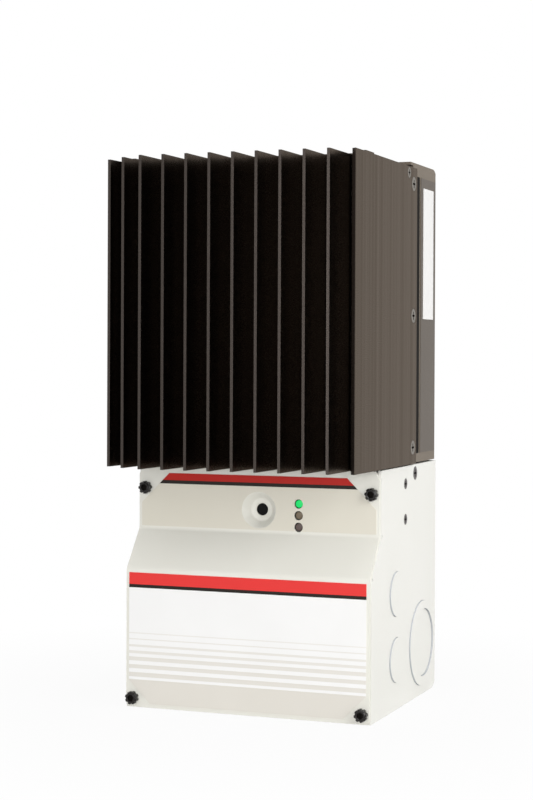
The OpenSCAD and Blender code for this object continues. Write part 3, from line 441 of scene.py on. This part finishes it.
lower_print = printed_film("lower_film_print", paler(1.0), lower_bands, 0.0, 0.07)
black_oxide = plain_finish("black_oxide", (0.006, 0.005, 0.0045), (0.011, 0.009, 0.0075),
                           even(2500), (0.16, 0.26), 0.00001, gloss=0.26, cloud=700)
# Painted shade: a near-black colour laid on the hollows of screws and round the lenses, where
# shade falls
painted_recess_shade = plain_finish("painted_recess_shade", (0.008, 0.007, 0.006), (0.014, 0.012, 0.01), even(2500),
                           (0.6, 0.75), 0.00001, gloss=0.02, cloud=700)
dull_nickel = plain_finish("dull_nickel_plate", (0.2, 0.178, 0.148), (0.15, 0.132, 0.108),
                           even(1800), (0.3, 0.42), 0.000006, metal=1.0, cloud=300)
dark_zinc = plain_finish("dark_zinc_plate", (0.12, 0.102, 0.098), (0.085, 0.072, 0.07), even(1800),
                         (0.3, 0.42), 0.000006, metal=1.0, cloud=300)
nickel = plain_finish("nickel_plate", (0.5, 0.465, 0.415), (0.41, 0.375, 0.33), even(1800),
                      (0.5, 0.62), 0.000006, metal=1.0, cloud=300)
zinc = plain_finish("zinc_plate", (0.4, 0.395, 0.375), (0.32, 0.315, 0.29), even(900),
                    (0.58, 0.72), 0.00001, metal=1.0, cloud=120)
black_plastic = plain_finish("black_moulding", (0.02, 0.02, 0.021), (0.028, 0.028, 0.029),
                             even(1800), (0.45, 0.6), 0.00002)
button_black = plain_finish("button_rubber", (0.008, 0.008, 0.008), (0.012, 0.012, 0.012),
                            even(2200), (0.75, 0.88), 0.000012, gloss=0.06)
blue_plastic = plain_finish("blue_moulding", (0.02, 0.045, 0.25), (0.016, 0.036, 0.2), even(1800),
                            (0.38, 0.5), 0.000015)
white_plastic = plain_finish("white_moulding", (0.8, 0.8, 0.78), (0.74, 0.74, 0.71), even(2000),
                             (0.38, 0.5), 0.00001)
green_plastic = plain_finish("green_moulding", (0.012, 0.15, 0.055), (0.01, 0.12, 0.045),
                             even(1600), (0.4, 0.55), 0.000018)
green_plate = plain_finish("green_passivation", (0.07, 0.24, 0.1), (0.05, 0.18, 0.075), even(1200),
                           (0.3, 0.42), 0.00001, metal=0.8, cloud=160)
copper = plain_finish("bare_copper", (0.72, 0.32, 0.19), (0.55, 0.22, 0.12), (300, 300, 2400),
                      (0.25, 0.42), 0.00001, metal=1.0, cloud=90)
enamel_wire = plain_finish("enamelled_wire", (0.5, 0.17, 0.06), (0.4, 0.12, 0.04), even(1500),
                           (0.2, 0.32), 0.000008, metal=0.7, cloud=200)
brass = plain_finish("bare_brass", (0.68, 0.47, 0.17), (0.56, 0.37, 0.12), even(1400),
                     (0.24, 0.4), 0.000008, metal=1.0, cloud=140)
ferrite = plain_finish("coated_core", (0.055, 0.05, 0.042), (0.07, 0.064, 0.055), even(1400),
                       (0.5, 0.65), 0.00003)
# Painted shade: near-black strips in the seam between the sink and the tray, for the shaded gap
# there
seam_shade_strip = plain_finish("seam_painted_shade", (0.012, 0.011, 0.01), (0.018, 0.017, 0.016), even(2600),
                          (0.85, 0.95), 0.00006, gloss=0.05)
sleeve = plain_finish("capacitor_sleeve", (0.016, 0.018, 0.04), (0.022, 0.024, 0.05),
                      (900, 900, 60), (0.3, 0.42), 0.00001)
solder_mask = circuit_finish("solder_mask", mask=(0.012, 0.105, 0.045),
                             track=(0.02, 0.16, 0.07), pad=(0.55, 0.53, 0.47))
green_lens = lens_finish("lit_green_lens", (0.006, 0.06, 0.02), (0.005, 0.045, 0.015),
                         glow=(0.008, 0.72, 0.15), strength=0.95)
amber_lens = lens_finish("unlit_amber_lens", (0.205, 0.163, 0.112), (0.175, 0.138, 0.094))
red_lens = lens_finish("unlit_red_lens", (0.138, 0.103, 0.093), (0.115, 0.085, 0.077))


def dress(piece, finish, body, slot, *nodes):
    """Gives a piece its finish, the body that it moves with and the solids that it stands for."""
    piece.data.materials.clear()
    piece.data.materials.append(finish)
    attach(piece, body)
    for node in nodes:
        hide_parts(node)
    return piece


# Sheet metal, extrusions and mouldings: the solids, merged and with their edges eased

FACING = 0.9                # part of a normal along an axis, for a face that looks that way
EDGEWISE = 0.1              # and for a face that stands along it
RECESS_STEP = 0.03 * MM     # a screw's faces that lie deeper than this are its recess and rim
FLOOR_DISCS = 4 * MM        # knockouts below this height lie in the floor
RIM_TILT = 0.8              # part of a normal across the wall, below which a face is rim
KNOCKOUT_EDGE = 0.2         # in millimetres


def merged_copy(node, name):
    """A workable copy of a solid: its triangles joined into whole faces."""
    piece = bpy.data.objects.new(name, frame["nodes"][node].data.copy())
    bpy.context.scene.collection.objects.link(piece)
    pick_up(piece)
    bpy.ops.mesh.customdata_custom_splitnormals_clear()
    open_up(piece)
    bpy.ops.mesh.select_all(action="SELECT")
    bpy.ops.mesh.remove_doubles(threshold=MERGE)
    bpy.ops.mesh.select_all(action="SELECT")
    bpy.ops.mesh.dissolve_limited(angle_limit=math.radians(FLAT_ANGLE))
    put_down()
    return piece


def second_finish(piece, finish, wanted):
    """Gives the faces that the test accepts a finish of their own."""
    piece.data.materials.append(finish)
    open_up(piece)
    choose_faces(piece, wanted)
    piece.active_material_index = len(piece.data.materials) - 1
    bpy.ops.object.material_slot_assign()
    put_down()


def eased(node, edge, finish, slot, steps=2):
    """The solid with eased edges, standing for itself; the edge is in millimetres."""
    piece = merged_copy(node, node + "_eased")
    round_edges(piece, edge * MM, steps)
    return dress(piece, finish, frame["nodes"][node]["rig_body"], slot, node)


def side_screws(node, edge, finish):
    """Countersunk screws in two side walls, with painted shade in the cross recess and round the
    rim.
    """
    piece = eased(node, edge, finish, "zinc_steel")
    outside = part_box(node)[1].x - RECESS_STEP
    # painted shade on the recess and the rim
    second_finish(piece, painted_recess_shade, lambda middle, normal: abs(middle.x) < outside)


def knockouts(node):
    """Discs still held in the box's walls, their rims coloured grey as painted shade."""
    piece = eased(node, KNOCKOUT_EDGE, white_paint, "white_panel")

    def on_rim(middle, normal):
        across = normal.z if middle.z < FLOOR_DISCS else normal.x
        return abs(across) < RIM_TILT

    second_finish(piece, painted_rim_shade, on_rim)


eased("heat_sink", 0.3, anodised, "sink_aluminium", 3)
eased("end_plate", 0.2, anodised, "sink_aluminium")
eased("rear_chassis", 0.25, tray_paint, "dark_panel")
side_screws("heat_sink_screws", 0.45, dull_nickel)
# the strips in the seam carry painted shade
eased("seam_gaskets", 0.1, seam_shade_strip, "seal_rubber")
eased("wiring_box", 0.25, white_paint, "white_panel")
side_screws("wiring_box_screws", 0.4, dark_zinc)
knockouts("small_knockouts")
knockouts("large_knockouts")
eased("cover_nuts", 0.3, zinc, "zinc_steel")
eased("board_standoffs", 0.15, brass, "brass")
eased("reset_switch", 0.3, black_plastic, "black_plastic")
eased("setting_switch", 0.15, blue_plastic, "switch_blue")
eased("meter_jack", 0.25, black_plastic, "black_plastic")
eased("serial_port", 0.25, zinc, "zinc_steel")
eased("signal_terminal", 0.2, green_plastic, "terminal_green")
eased("power_terminal", 0.4, black_plastic, "black_plastic")
eased("terminal_bracket", 0.25, zinc, "zinc_steel")
eased("bus_bars", 0.3, copper, "copper")
eased("power_transistors", 0.2, black_plastic, "black_plastic")
eased("inductor_cores", 1.0, ferrite, "ferrite", 3)
eased("ground_lug", 0.5, brass, "brass")
eased("ground_screw", 0.3, green_plate, "zinc_steel")
for number in range(1, 9):
    eased("setting_lever_%d" % number, 0.15, white_plastic, "lever_white")
for number in range(1, 5):
    eased("signal_screw_%d" % number, 0.12, nickel, "zinc_steel")
    eased("power_screw_%d" % number, 0.3, zinc, "zinc_steel")
    eased("power_clamp_%d" % number, 0.3, zinc, "zinc_steel")

# Films and boards stay as the solids are, with a finish of their own
for node, finish in (("side_label", label_film), ("serial_sticker", sticker_paper),
                     ("upper_overlay", upper_print), ("lower_overlay", lower_print),
                     ("control_board", solder_mask), ("power_board", solder_mask)):
    shown = frame["nodes"][node].data
    shown.materials.clear()
    shown.materials.append(finish)


# Cover: one formed sheet, its button dish drawn in as a smooth funnel

BUTTON_LOW, BUTTON_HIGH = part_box("reset_button")
BUTTON = Vector(((BUTTON_LOW.x + BUTTON_HIGH.x) / 2, COVER_UP,
                 (BUTTON_LOW.z + BUTTON_HIGH.z) / 2))
DISH_RIM = 9.0 * MM
RIM_SLACK = 0.3 * MM
# Section of the dish in millimetres: radius, distance behind the cover's face
FUNNEL = [(9.0, 0.0), (8.86, 0.05), (8.6, 0.26), (8.05, 0.9), (7.3, 1.8), (6.6, 2.7),
          (6.15, 3.3), (5.85, 3.7), (5.55, 3.95), (5.2, 4.07), (4.6, 4.2), (3.8, 4.4),
          (3.35, 4.5), (3.1, 4.62), (3.0, 4.85), (3.0, 5.2), (5.9, 5.2), (6.9, 4.3),
          (8.2, 2.6), (9.2, 1.5), (9.2, 0.75), (9.0, 0.0)]


def off_axis(point):
    return math.hypot(point.x - BUTTON.x, point.z - BUTTON.z)


def formed_cover():
    """The cover without its pressed dish, the opening's two rims bridged by a wall."""
    piece = merged_copy("box_cover", "formed_cover")

    def in_dish(a, b):
        return max(off_axis(a), off_axis(b)) < DISH_RIM + RIM_SLACK

    open_up(piece, "EDGE")
    choose_edges(piece, in_dish)
    bpy.ops.mesh.select_mode(type="FACE")
    bpy.ops.mesh.delete(type="FACE")
    bpy.ops.mesh.select_mode(type="EDGE")
    choose_edges(piece, in_dish)
    bpy.ops.mesh.bridge_edge_loops()
    put_down()
    round_edges(piece, 0.22 * MM, angle=40)
    dress(piece, cover_paint, "cover", "white_panel", "box_cover")


def button_dish():
    piece = turned("button_dish", BUTTON, millimetres(FUNNEL), 64)
    smooth(piece, 50)
    dress(piece, cover_paint, "cover", "white_panel")


formed_cover()
button_dish()


# Reset button: a cap with a hollow face on a thinner stem

# Face of the cap in millimetres: radius, distance behind its foremost edge
CAP_FACE = [(0, 0.35), (1.2, 0.28), (2.0, 0.1), (2.35, 0), (2.6, 0.08), (2.75, 0.3), (2.8, 0.7)]
CAP_RADIUS = 2.8 * MM
STEM_RADIUS = 1.7 * MM
CAP_CLEAR = 1.2 * MM        # from the cap's shoulder to the switch


def reset_cap():
    face = BUTTON_LOW.y - COVER_UP
    back = BUTTON_HIGH.y - COVER_UP
    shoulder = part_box("reset_switch")[0].y - COVER_UP - CAP_CLEAR
    section = [(radius, face + along) for radius, along in millimetres(CAP_FACE)]
    section += [(CAP_RADIUS, shoulder), (STEM_RADIUS, shoulder), (STEM_RADIUS, back), (0, back)]
    piece = smooth(turned("reset_cap", BUTTON, section, 40), 40)
    dress(piece, button_black, "reset_button", "black_plastic", "reset_button")


reset_cap()


# Status lamps: lenses with a nearly flat face, each in a ring of painted shade

# Face of a lens in millimetres: radius, distance behind its foremost point
LENS_FACE = [(0, 0), (1.1, 0.04), (1.6, 0.12), (1.86, 0.26), (2.0, 0.5), (2.06, 0.9)]
LENS_RADIUS = 2.06 * MM
LENS_EYE = 1.82 * MM        # the coloured face inside the ring
FLANGE_RADIUS = 2.48 * MM
FLANGE_START = 2.8 * MM     # before the lamp's back
FLANGE_FULL = 2.6 * MM


def painted_shade_ring(piece, x, z):
    """Paints shade on a lens outside its eye, where the gap round the lens is in shade."""
    second_finish(piece, painted_recess_shade,
                  lambda middle, normal: math.hypot(middle.x - x, middle.z - z) > LENS_EYE)


def status_lamps():
    low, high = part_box("green_lamp")
    middle = (low + high) / 2
    length = high.y - low.y
    section = millimetres(LENS_FACE)
    section += [(LENS_RADIUS, length - FLANGE_START), (FLANGE_RADIUS, length - FLANGE_FULL),
                (FLANGE_RADIUS, length), (0, length)]
    first = smooth(turned("green_lens", (middle.x, low.y, middle.z), section, 32), 45)
    for node, name, finish in (("yellow_lamp", "amber_lens", amber_lens),
                               ("red_lamp", "red_lens", red_lens)):
        height = (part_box(node)[0].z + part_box(node)[1].z) / 2
        copy = another(first, name, (0, 0, height - middle.z))
        dress(copy, finish, "chassis", "lamp_off", node)
        painted_shade_ring(copy, middle.x, height)
    dress(first, green_lens, "chassis", "lamp_green", "green_lamp")
    painted_shade_ring(first, middle.x, middle.z)


status_lamps()


# Cover screws: knurled heads with a hexagon socket

HEAD_GAP = 0.05 * MM        # between the head and the sheet
HEAD_HIGH = COVER_LOW - HEAD_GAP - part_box("cover_screw_bottom_left")[0].y
HEAD_ROOT = 2.72 * MM       # radius between the lobes
HEAD_EASE = 0.4 * MM
LOBES = 8
LOBE_SHARE = 0.56
LOBE_RISE = 0.45 * MM
SOCKET = 1.75 * MM          # radius over the corners
SOCKET_DEPTH = 1.5 * MM
SOCKET_CONE = 0.4 * MM
CONE_TIP = 0.1              # width of the cone's end, as a share of the socket
CUTTER_LONG = 4 * MM
SOCKET_LIP = 0.25 * MM
# Shank in millimetres
NECK = 2.35
CREST = 1.95
ROOT = 1.62
TIP = 1.5
SHANK_END = 6.95
THREADS = 8
FIRST_THREAD = 0.55
THREAD_PITCH = 0.8
RIDGE = [(ROOT, 0), (ROOT, 0.15), (CREST, 0.4), (CREST, 0.48)]


def knurled_screw():
    """One screw at the origin, its head in front of the plane y = 0."""
    crown = -HEAD_HIGH
    section = [(0, crown), (HEAD_ROOT - HEAD_EASE, crown), (HEAD_ROOT, crown + HEAD_EASE),
               (HEAD_ROOT, -HEAD_GAP)]
    section += millimetres([(NECK, 0), (CREST, 0)])
    for thread in range(THREADS):
        start = FIRST_THREAD + thread * THREAD_PITCH
        section += millimetres([(radius, start + along) for radius, along in RIDGE])
    section += millimetres([(TIP, SHANK_END), (0, SHANK_END)])
    piece = turned("knurled_screw", (0, 0, 0), section, 72)
    open_up(piece)

    def on_lobe(middle, normal):
        turn = math.degrees(math.atan2(middle.z, middle.x)) % (360 / LOBES)
        return (crown + HEAD_EASE < middle.y < -HEAD_GAP and abs(normal.y) < EDGEWISE
                and turn < LOBE_SHARE * 360 / LOBES)

    choose_faces(piece, on_lobe)
    bpy.ops.mesh.extrude_region_shrink_fatten(TRANSFORM_OT_shrink_fatten={"value": LOBE_RISE})
    put_down()
    cutter_middle = (0, crown + SOCKET_DEPTH - CUTTER_LONG / 2, 0)
    bpy.ops.mesh.primitive_cylinder_add(vertices=6, radius=SOCKET, depth=CUTTER_LONG,
                                        location=cutter_middle, rotation=(math.pi / 2, 0, 0))
    socket = settle(bpy.context.object, "hexagon_socket")
    open_up(socket)
    choose_faces(socket, lambda middle, normal: normal.y > FACING)
    draw_out((0, SOCKET_CONE, 0))
    bpy.ops.transform.resize(value=(CONE_TIP, 1, CONE_TIP))
    put_down()
    cut_out(piece, socket)
    return round_edges(piece, 0.2 * MM, angle=40)


def cover_screws():
    """Four copies of one screw, each turned by its own angle."""
    pattern = knurled_screw()
    for corner, face, turn in (("top_left", COVER_UP, 9), ("top_right", COVER_UP, 18),
                               ("bottom_left", COVER_LOW, 31), ("bottom_right", COVER_LOW, 2)):
        node = "cover_screw_" + corner
        low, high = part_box(node)
        spot = Vector(((low.x + high.x) / 2, face - HEAD_GAP, (low.z + high.z) / 2))
        copy = another(pattern, "knurled_screw_" + corner, spot, math.radians(turn))
        dress(copy, black_oxide, node, "black_steel", node)

        def in_socket(middle, normal):
            return (math.hypot(middle.x - spot.x, middle.z - spot.z) < SOCKET
                    and low.y + SOCKET_LIP < middle.y < spot.y)

        # painted shade in the hexagon socket
        second_finish(copy, painted_recess_shade, in_socket)
    bpy.data.objects.remove(pattern)


cover_screws()


# Capacitors: sleeved cans with a grooved seal and a scored top

CANS = 5
# Section of a can in millimetres: in from its side and down from its top, then in from its side
# and up from its foot
CAN_TOP = [(2.2, 0.3), (1.8, 0), (0.5, 0), (0, 0.6)]
CAN_FOOT = [(0, 4), (0.7, 3.4), (0.7, 2.8), (0, 2.2), (0, 0.3), (0.3, 0)]
CAN_SUNK = 0.3 * MM         # the top inside its rim


def capacitor_cans():
    low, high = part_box("capacitors")
    across = high.z - low.z
    pitch = (high.x - low.x - across) / (CANS - 1)
    radius, tall = across / 2, high.y - low.y
    section = [(0, tall - CAN_SUNK)]
    section += [(radius - inward, tall - down) for inward, down in millimetres(CAN_TOP)]
    section += [(radius - inward, up) for inward, up in millimetres(CAN_FOOT)]
    section += [(0, 0)]
    spot = (low.x + radius, low.y, (low.z + high.z) / 2)
    first = smooth(turned("capacitor_can", spot, section, 40))
    cans = [first] + [another(first, "can", (step * pitch, 0, 0)) for step in range(1, CANS)]
    dress(join(cans, "capacitor_cans"), sleeve, "chassis", "black_plastic", "capacitors")


capacitor_cans()


# Inductor windings: turns of wire laid side by side round each core

WIRE = 1.35 * MM            # radius of the wire
CORE_BORE = 11 * MM
TURNS = 26
FIRST_TURN = 8              # degrees round the core
WOUND_ARC = 284
SQUARENESS = 0.72           # 0 for a round turn, 1 for square corners
RING_TUBE = 0.1             # tube of the ring of radius 1 that a turn is shaped from


def winding_turns():
    low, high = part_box("inductor_windings")
    rim = (high.z - low.z) / 2
    middle_y, middle_z = (low.y + high.y) / 2, (low.z + high.z) / 2
    outer, inner = rim - WIRE, CORE_BORE - WIRE
    middle_r, half_r = (outer + inner) / 2, (outer - inner) / 2
    half_y = (high.y - low.y) / 2 - WIRE
    put_down()
    bpy.ops.mesh.primitive_torus_add(major_segments=24, minor_segments=8,
                                     major_radius=1, minor_radius=RING_TUBE)
    turn = settle(bpy.context.object, "wire_turn")
    for vertex in turn.data.vertices:
        ring = math.hypot(vertex.co.x, vertex.co.y)
        u, v = vertex.co.x / ring, vertex.co.y / ring
        stretch = 1 / max(abs(u), abs(v)) ** SQUARENESS
        out = (ring - 1) / RING_TUBE * WIRE
        vertex.co = ((half_r * stretch + out) * u + middle_r,
                     (half_y * stretch + out) * v + middle_y,
                     vertex.co.z / RING_TUBE * WIRE)
    made = []
    for side in (-1, 1):
        core_x = side * (high.x - rim)
        for step in range(TURNS):
            angle = math.radians(-(FIRST_TURN + step * WOUND_ARC / (TURNS - 1)))
            made.append(another(turn, "turn", (core_x, 0, middle_z), angle))
    bpy.data.objects.remove(turn)
    piece = join(made, "wire_windings")
    smooth(piece, 60)
    dress(piece, enamel_wire, "chassis", "copper", "inductor_windings")


winding_turns()


# Small parts of the control board

CHIP_LIFT = 0.15 * MM       # from the board to the moulding
CHIP_EDGE = 0.2 * MM
LEG_PITCH = 1.27 * MM
LEG_SHARE = 0.45            # width of a leg, as a share of the pitch
LEG_INSET = 0.4 * MM        # from the end of the body to the first leg
LEG_HALF = 0.1 * MM         # half its thickness
LEG_ROOT = 0.1 * MM         # inside the body
LEG_REACH = 0.7 * MM        # out of the body
LEG_BEND = 0.2 * MM         # the end that turns down to the board
# In millimetres: name, middle, width, height, thickness, and legs on each side
CHIPS = [("large_chip", (12, 106.7), 14, 6, 1.8, 10),
         ("small_chip_left", (-18, 88.5), 5.6, 4, 1.6, 4),
         ("small_chip_right", (46, 102.5), 5.6, 4, 1.6, 4)]


def chip(name, x, z, wide, tall, thick, legs):
    """A moulded package with a bent leg at each step along its two long sides."""
    body = block(name + "_body", (x - wide / 2, BOARD_FACE - thick, z - tall / 2),
                 (x + wide / 2, BOARD_FACE - CHIP_LIFT, z + tall / 2), CHIP_EDGE)
    left = x - wide / 2 + LEG_INSET
    waist = BOARD_FACE - thick / 2
    parts = []
    for side in (-1, 1):
        edge = z + side * tall / 2
        tip, root = edge + side * LEG_REACH, edge - side * LEG_ROOT
        leg = block("leg", (left, waist - LEG_HALF, min(root, tip)),
                    (left + LEG_PITCH * LEG_SHARE, waist + LEG_HALF, max(root, tip)))
        open_up(leg)
        choose_faces(leg, lambda middle, normal: normal.z * side > FACING)
        draw_out((0, 0, side * LEG_BEND))
        choose_faces(leg, lambda middle, normal: normal.y > FACING and (middle.z - tip) * side > 0)
        draw_out((0, thick / 2 - LEG_HALF, 0))
        put_down()
        parts += [leg] + [another(leg, "leg", (step * LEG_PITCH, 0, 0)) for step in range(1, legs)]
    dress(body, black_plastic, "chassis", "black_plastic")
    dress(join(parts, name + "_legs"), zinc, "chassis", "zinc_steel")


def chips_on_board():
    for name, (x, z), wide, tall, thick, legs in CHIPS:
        chip(name, x * MM, z * MM, wide * MM, tall * MM, thick * MM, legs)


RESISTOR_LONG = 0.8 * MM    # from the middle to the end
RESISTOR_TALL = 0.6 * MM    # from the middle to the side
RESISTOR_HIGH = 0.6 * MM    # from the board to the face
RESISTOR_LIFT = 0.05 * MM
RESISTOR_EDGE = 0.08 * MM
END_LONG = 0.22 * MM
END_TALL = 0.63 * MM
END_HIGH = 0.64 * MM
END_EDGE = 0.1 * MM
# Columns and rows of each group, in millimetres
RESISTOR_GROUPS = [((-27, -23, -14, -10), (79, 82)), ((34, 38, 42, 46), (108, 111.5))]


def board_resistors():
    """Small resistors in rows, each a ceramic body with tinned ends."""
    body = block("body", (-RESISTOR_LONG, BOARD_FACE - RESISTOR_HIGH, -RESISTOR_TALL),
                 (RESISTOR_LONG, BOARD_FACE - RESISTOR_LIFT, RESISTOR_TALL), RESISTOR_EDGE)
    ends = [block("end", (end - END_LONG, BOARD_FACE - END_HIGH, -END_TALL),
                  (end + END_LONG, BOARD_FACE, END_TALL), END_EDGE)
            for end in (-RESISTOR_LONG, RESISTOR_LONG)]
    end_pair = join(ends, "ends")
    spots = [(x * MM, z * MM) for columns, rows in RESISTOR_GROUPS for x in columns for z in rows]
    bodies = [another(body, "body", (x, 0, z)) for x, z in spots]
    tips = [another(end_pair, "ends", (x, 0, z)) for x, z in spots]
    bpy.data.objects.remove(body)
    bpy.data.objects.remove(end_pair)
    dress(join(bodies, "resistor_bodies"), black_plastic, "chassis", "black_plastic")
    dress(join(tips, "resistor_ends"), zinc, "chassis", "zinc_steel")


# Section of a board screw in millimetres: radius, distance behind the board's face
BOARD_SCREW = [(0, -1.9), (1.2, -1.85), (2.1, -1.5), (2.6, -0.8), (2.65, 0), (1.3, 0),
               (1.3, 3.5), (0, 3.5)]
SCREW_INSET = 4 * MM
SLOT_LONG = 2.6 * MM
SLOT_WIDE = 0.55 * MM
SLOT_FLOOR = 0.9 * MM       # before the board's face
SLOT_FRONT = 3 * MM


def board_screws():
    """Pan-head screws with a cross slot, one in each corner of the control board."""
    low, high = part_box("control_board")
    x, z = low.x + SCREW_INSET, low.z + SCREW_INSET
    first = turned("board_screw", (x, low.y, z), millimetres(BOARD_SCREW), 32)
    for wide, tall in ((SLOT_WIDE, SLOT_LONG), (SLOT_LONG, SLOT_WIDE)):
        slot = block("slot", (x - wide / 2, low.y - SLOT_FRONT, z - tall / 2),
                     (x + wide / 2, low.y - SLOT_FLOOR, z + tall / 2))
        cut_out(first, slot)
    smooth(first, 40)
    across, up = high.x - low.x - 2 * SCREW_INSET, high.z - low.z - 2 * SCREW_INSET
    screws = [first] + [another(first, "board_screw", move)
                        for move in ((across, 0, 0), (0, 0, up), (across, 0, up))]
    dress(join(screws, "board_screws"), nickel, "chassis", "zinc_steel")


CONTACTS = 6
CONTACT_PITCH = 1.02 * MM
CONTACT_HALF = 0.2 * MM
CONTACT_FRONT = 2.4 * MM    # before the jack's back
CONTACT_BACK = 2.05 * MM
CONTACT_FOOT = 2 * MM       # above the jack's foot
CONTACT_HEAD = 2.2 * MM     # below the jack's top
CONTACT_SPRING = (0, -1.6 * MM, 3 * MM)
CONTACT_EDGE = 0.08 * MM


def jack_contacts():
    """Sprung wires inside the meter jack."""
    low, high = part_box("meter_jack")
    x = (low.x + high.x) / 2 - CONTACT_PITCH * (CONTACTS - 1) / 2
    wire = block("contact", (x - CONTACT_HALF, high.y - CONTACT_FRONT, low.z + CONTACT_FOOT),
                 (x + CONTACT_HALF, high.y - CONTACT_BACK, high.z - CONTACT_HEAD))
    open_up(wire)
    choose_faces(wire, lambda middle, normal: normal.z < -FACING)
    draw_out(CONTACT_SPRING)
    put_down()
    round_edges(wire, CONTACT_EDGE)
    wires = [wire] + [another(wire, "contact", (step * CONTACT_PITCH, 0, 0))
                      for step in range(1, CONTACTS)]
    dress(join(wires, "jack_contacts"), brass, "chassis", "brass")


chips_on_board()
board_resistors()
board_screws()
jack_contacts()


# Floor, light and camera

SKY_LEVEL = 0.5             # of the sky's light on things; what the camera sees of it is white
FLOOR_SIZE = 8.0
FLOOR_SHADE = 0.62
FLOOR_WHITE = 0.94          # share of pure white under the object
WHITE_FROM, WHITE_ALL = 0.1, 0.28


def seen_rays(nodes, links):
    """1 for what the camera sees, directly or in gloss and glass, 0 for light on things."""
    path = nodes.new("ShaderNodeLightPath")
    seen = nodes.new("ShaderNodeMath")
    seen.operation = "MAXIMUM"
    links.new(path.outputs["Is Camera Ray"], seen.inputs[0])
    links.new(path.outputs["Is Glossy Ray"], seen.inputs[1])
    also = nodes.new("ShaderNodeMath")
    also.operation = "MAXIMUM"
    links.new(seen.outputs[0], also.inputs[0])
    links.new(path.outputs["Is Transmission Ray"], also.inputs[1])
    return also.outputs[0]


def pale_floor():
    """A pale floor that turns pure white away from the object's shadow."""
    put_down()
    bpy.ops.mesh.primitive_plane_add(size=FLOOR_SIZE, location=(0, 0, 0))
    floor = settle(bpy.context.object, "studio_floor")
    made, nodes, links, shader, place = start_finish("pale_floor", 0.0, 0.0)
    shader.inputs["Base Color"].default_value = (*even(FLOOR_SHADE), 1)
    shader.inputs["Roughness"].default_value = 0.9
    away = nodes.new("ShaderNodeVectorMath")
    away.operation = "LENGTH"
    links.new(place, away.inputs[0])
    share = between(nodes, links, away.outputs["Value"], FLOOR_WHITE, 1.0, WHITE_FROM, WHITE_ALL)
    part = nodes.new("ShaderNodeMath")
    part.operation = "MULTIPLY"
    links.new(seen_rays(nodes, links), part.inputs[0])
    links.new(share, part.inputs[1])
    white = nodes.new("ShaderNodeEmission")
    white.inputs["Strength"].default_value = 1.0
    blend = nodes.new("ShaderNodeMixShader")
    links.new(part.outputs[0], blend.inputs[0])
    links.new(shader.outputs["BSDF"], blend.inputs[1])
    links.new(white.outputs["Emission"], blend.inputs[2])
    links.new(blend.outputs["Shader"], nodes["Material Output"].inputs["Surface"])
    floor.data.materials.append(made)


def studio_world():
    world = bpy.data.worlds.new("studio")
    bpy.context.scene.world = world
    world.use_nodes = True
    nodes, links = world.node_tree.nodes, world.node_tree.links
    level = nodes.new("ShaderNodeMapRange")
    level.inputs["To Min"].default_value = SKY_LEVEL
    level.inputs["To Max"].default_value = 1.0
    links.new(seen_rays(nodes, links), level.inputs["Value"])
    nodes["Background"].inputs["Color"].default_value = (1, 1, 1, 1)
    links.new(level.outputs["Result"], nodes["Background"].inputs["Strength"])


def softbox(name, spot, aim, wide, tall, power):
    put_down()
    bpy.ops.object.light_add(type="AREA", location=spot)
    lamp = bpy.context.object
    lamp.name = name
    lamp.data.shape = "RECTANGLE"
    lamp.data.size = wide
    lamp.data.size_y = tall
    lamp.data.energy = power
    lamp.rotation_euler = (Vector(aim) - Vector(spot)).to_track_quat("-Z", "Y").to_euler()


def photo_camera():
    """The camera as fitted to the photograph: place, three turns, lens and frame shift."""
    place = Vector((0.323254, -0.842879, 0.174739))
    yaw, pitch, roll = 0.35925, -0.00751, 0.00428
    level = Vector((-math.sin(yaw), math.cos(yaw), 0))
    ahead = math.cos(pitch) * level + Vector((0, 0, math.sin(pitch)))
    right = Vector((math.cos(yaw), math.sin(yaw), 0))
    up = right.cross(ahead)
    side = math.cos(roll) * right + math.sin(roll) * up
    top = -math.sin(roll) * right + math.cos(roll) * up
    turn = Matrix((side, top, -ahead)).transposed().to_4x4()
    put_down()
    bpy.ops.object.camera_add()
    camera = bpy.context.object
    camera.matrix_world = Matrix.Translation(place) @ turn
    camera.data.lens = 80.773
    camera.data.sensor_width = 36
    camera.data.shift_x = -0.02687
    camera.data.shift_y = -0.04015
    camera.data.clip_start = 0.01
    bpy.context.scene.camera = camera


pale_floor()
studio_world()
softbox("right_softbox", (1.7, -0.55, 0.75), (0, 0, 0.14), wide=1.3, tall=1.3, power=26)
softbox("top_softbox", (0.1, -0.25, 1.7), (0, 0, 0.2), wide=0.9, tall=0.9, power=6)
softbox("front_softbox", (0.15, -2.0, 0.18), (0, 0, 0.12), wide=1.2, tall=0.8, power=21.5)
photo_camera()
bpy.context.scene.view_settings.view_transform = "Standard"
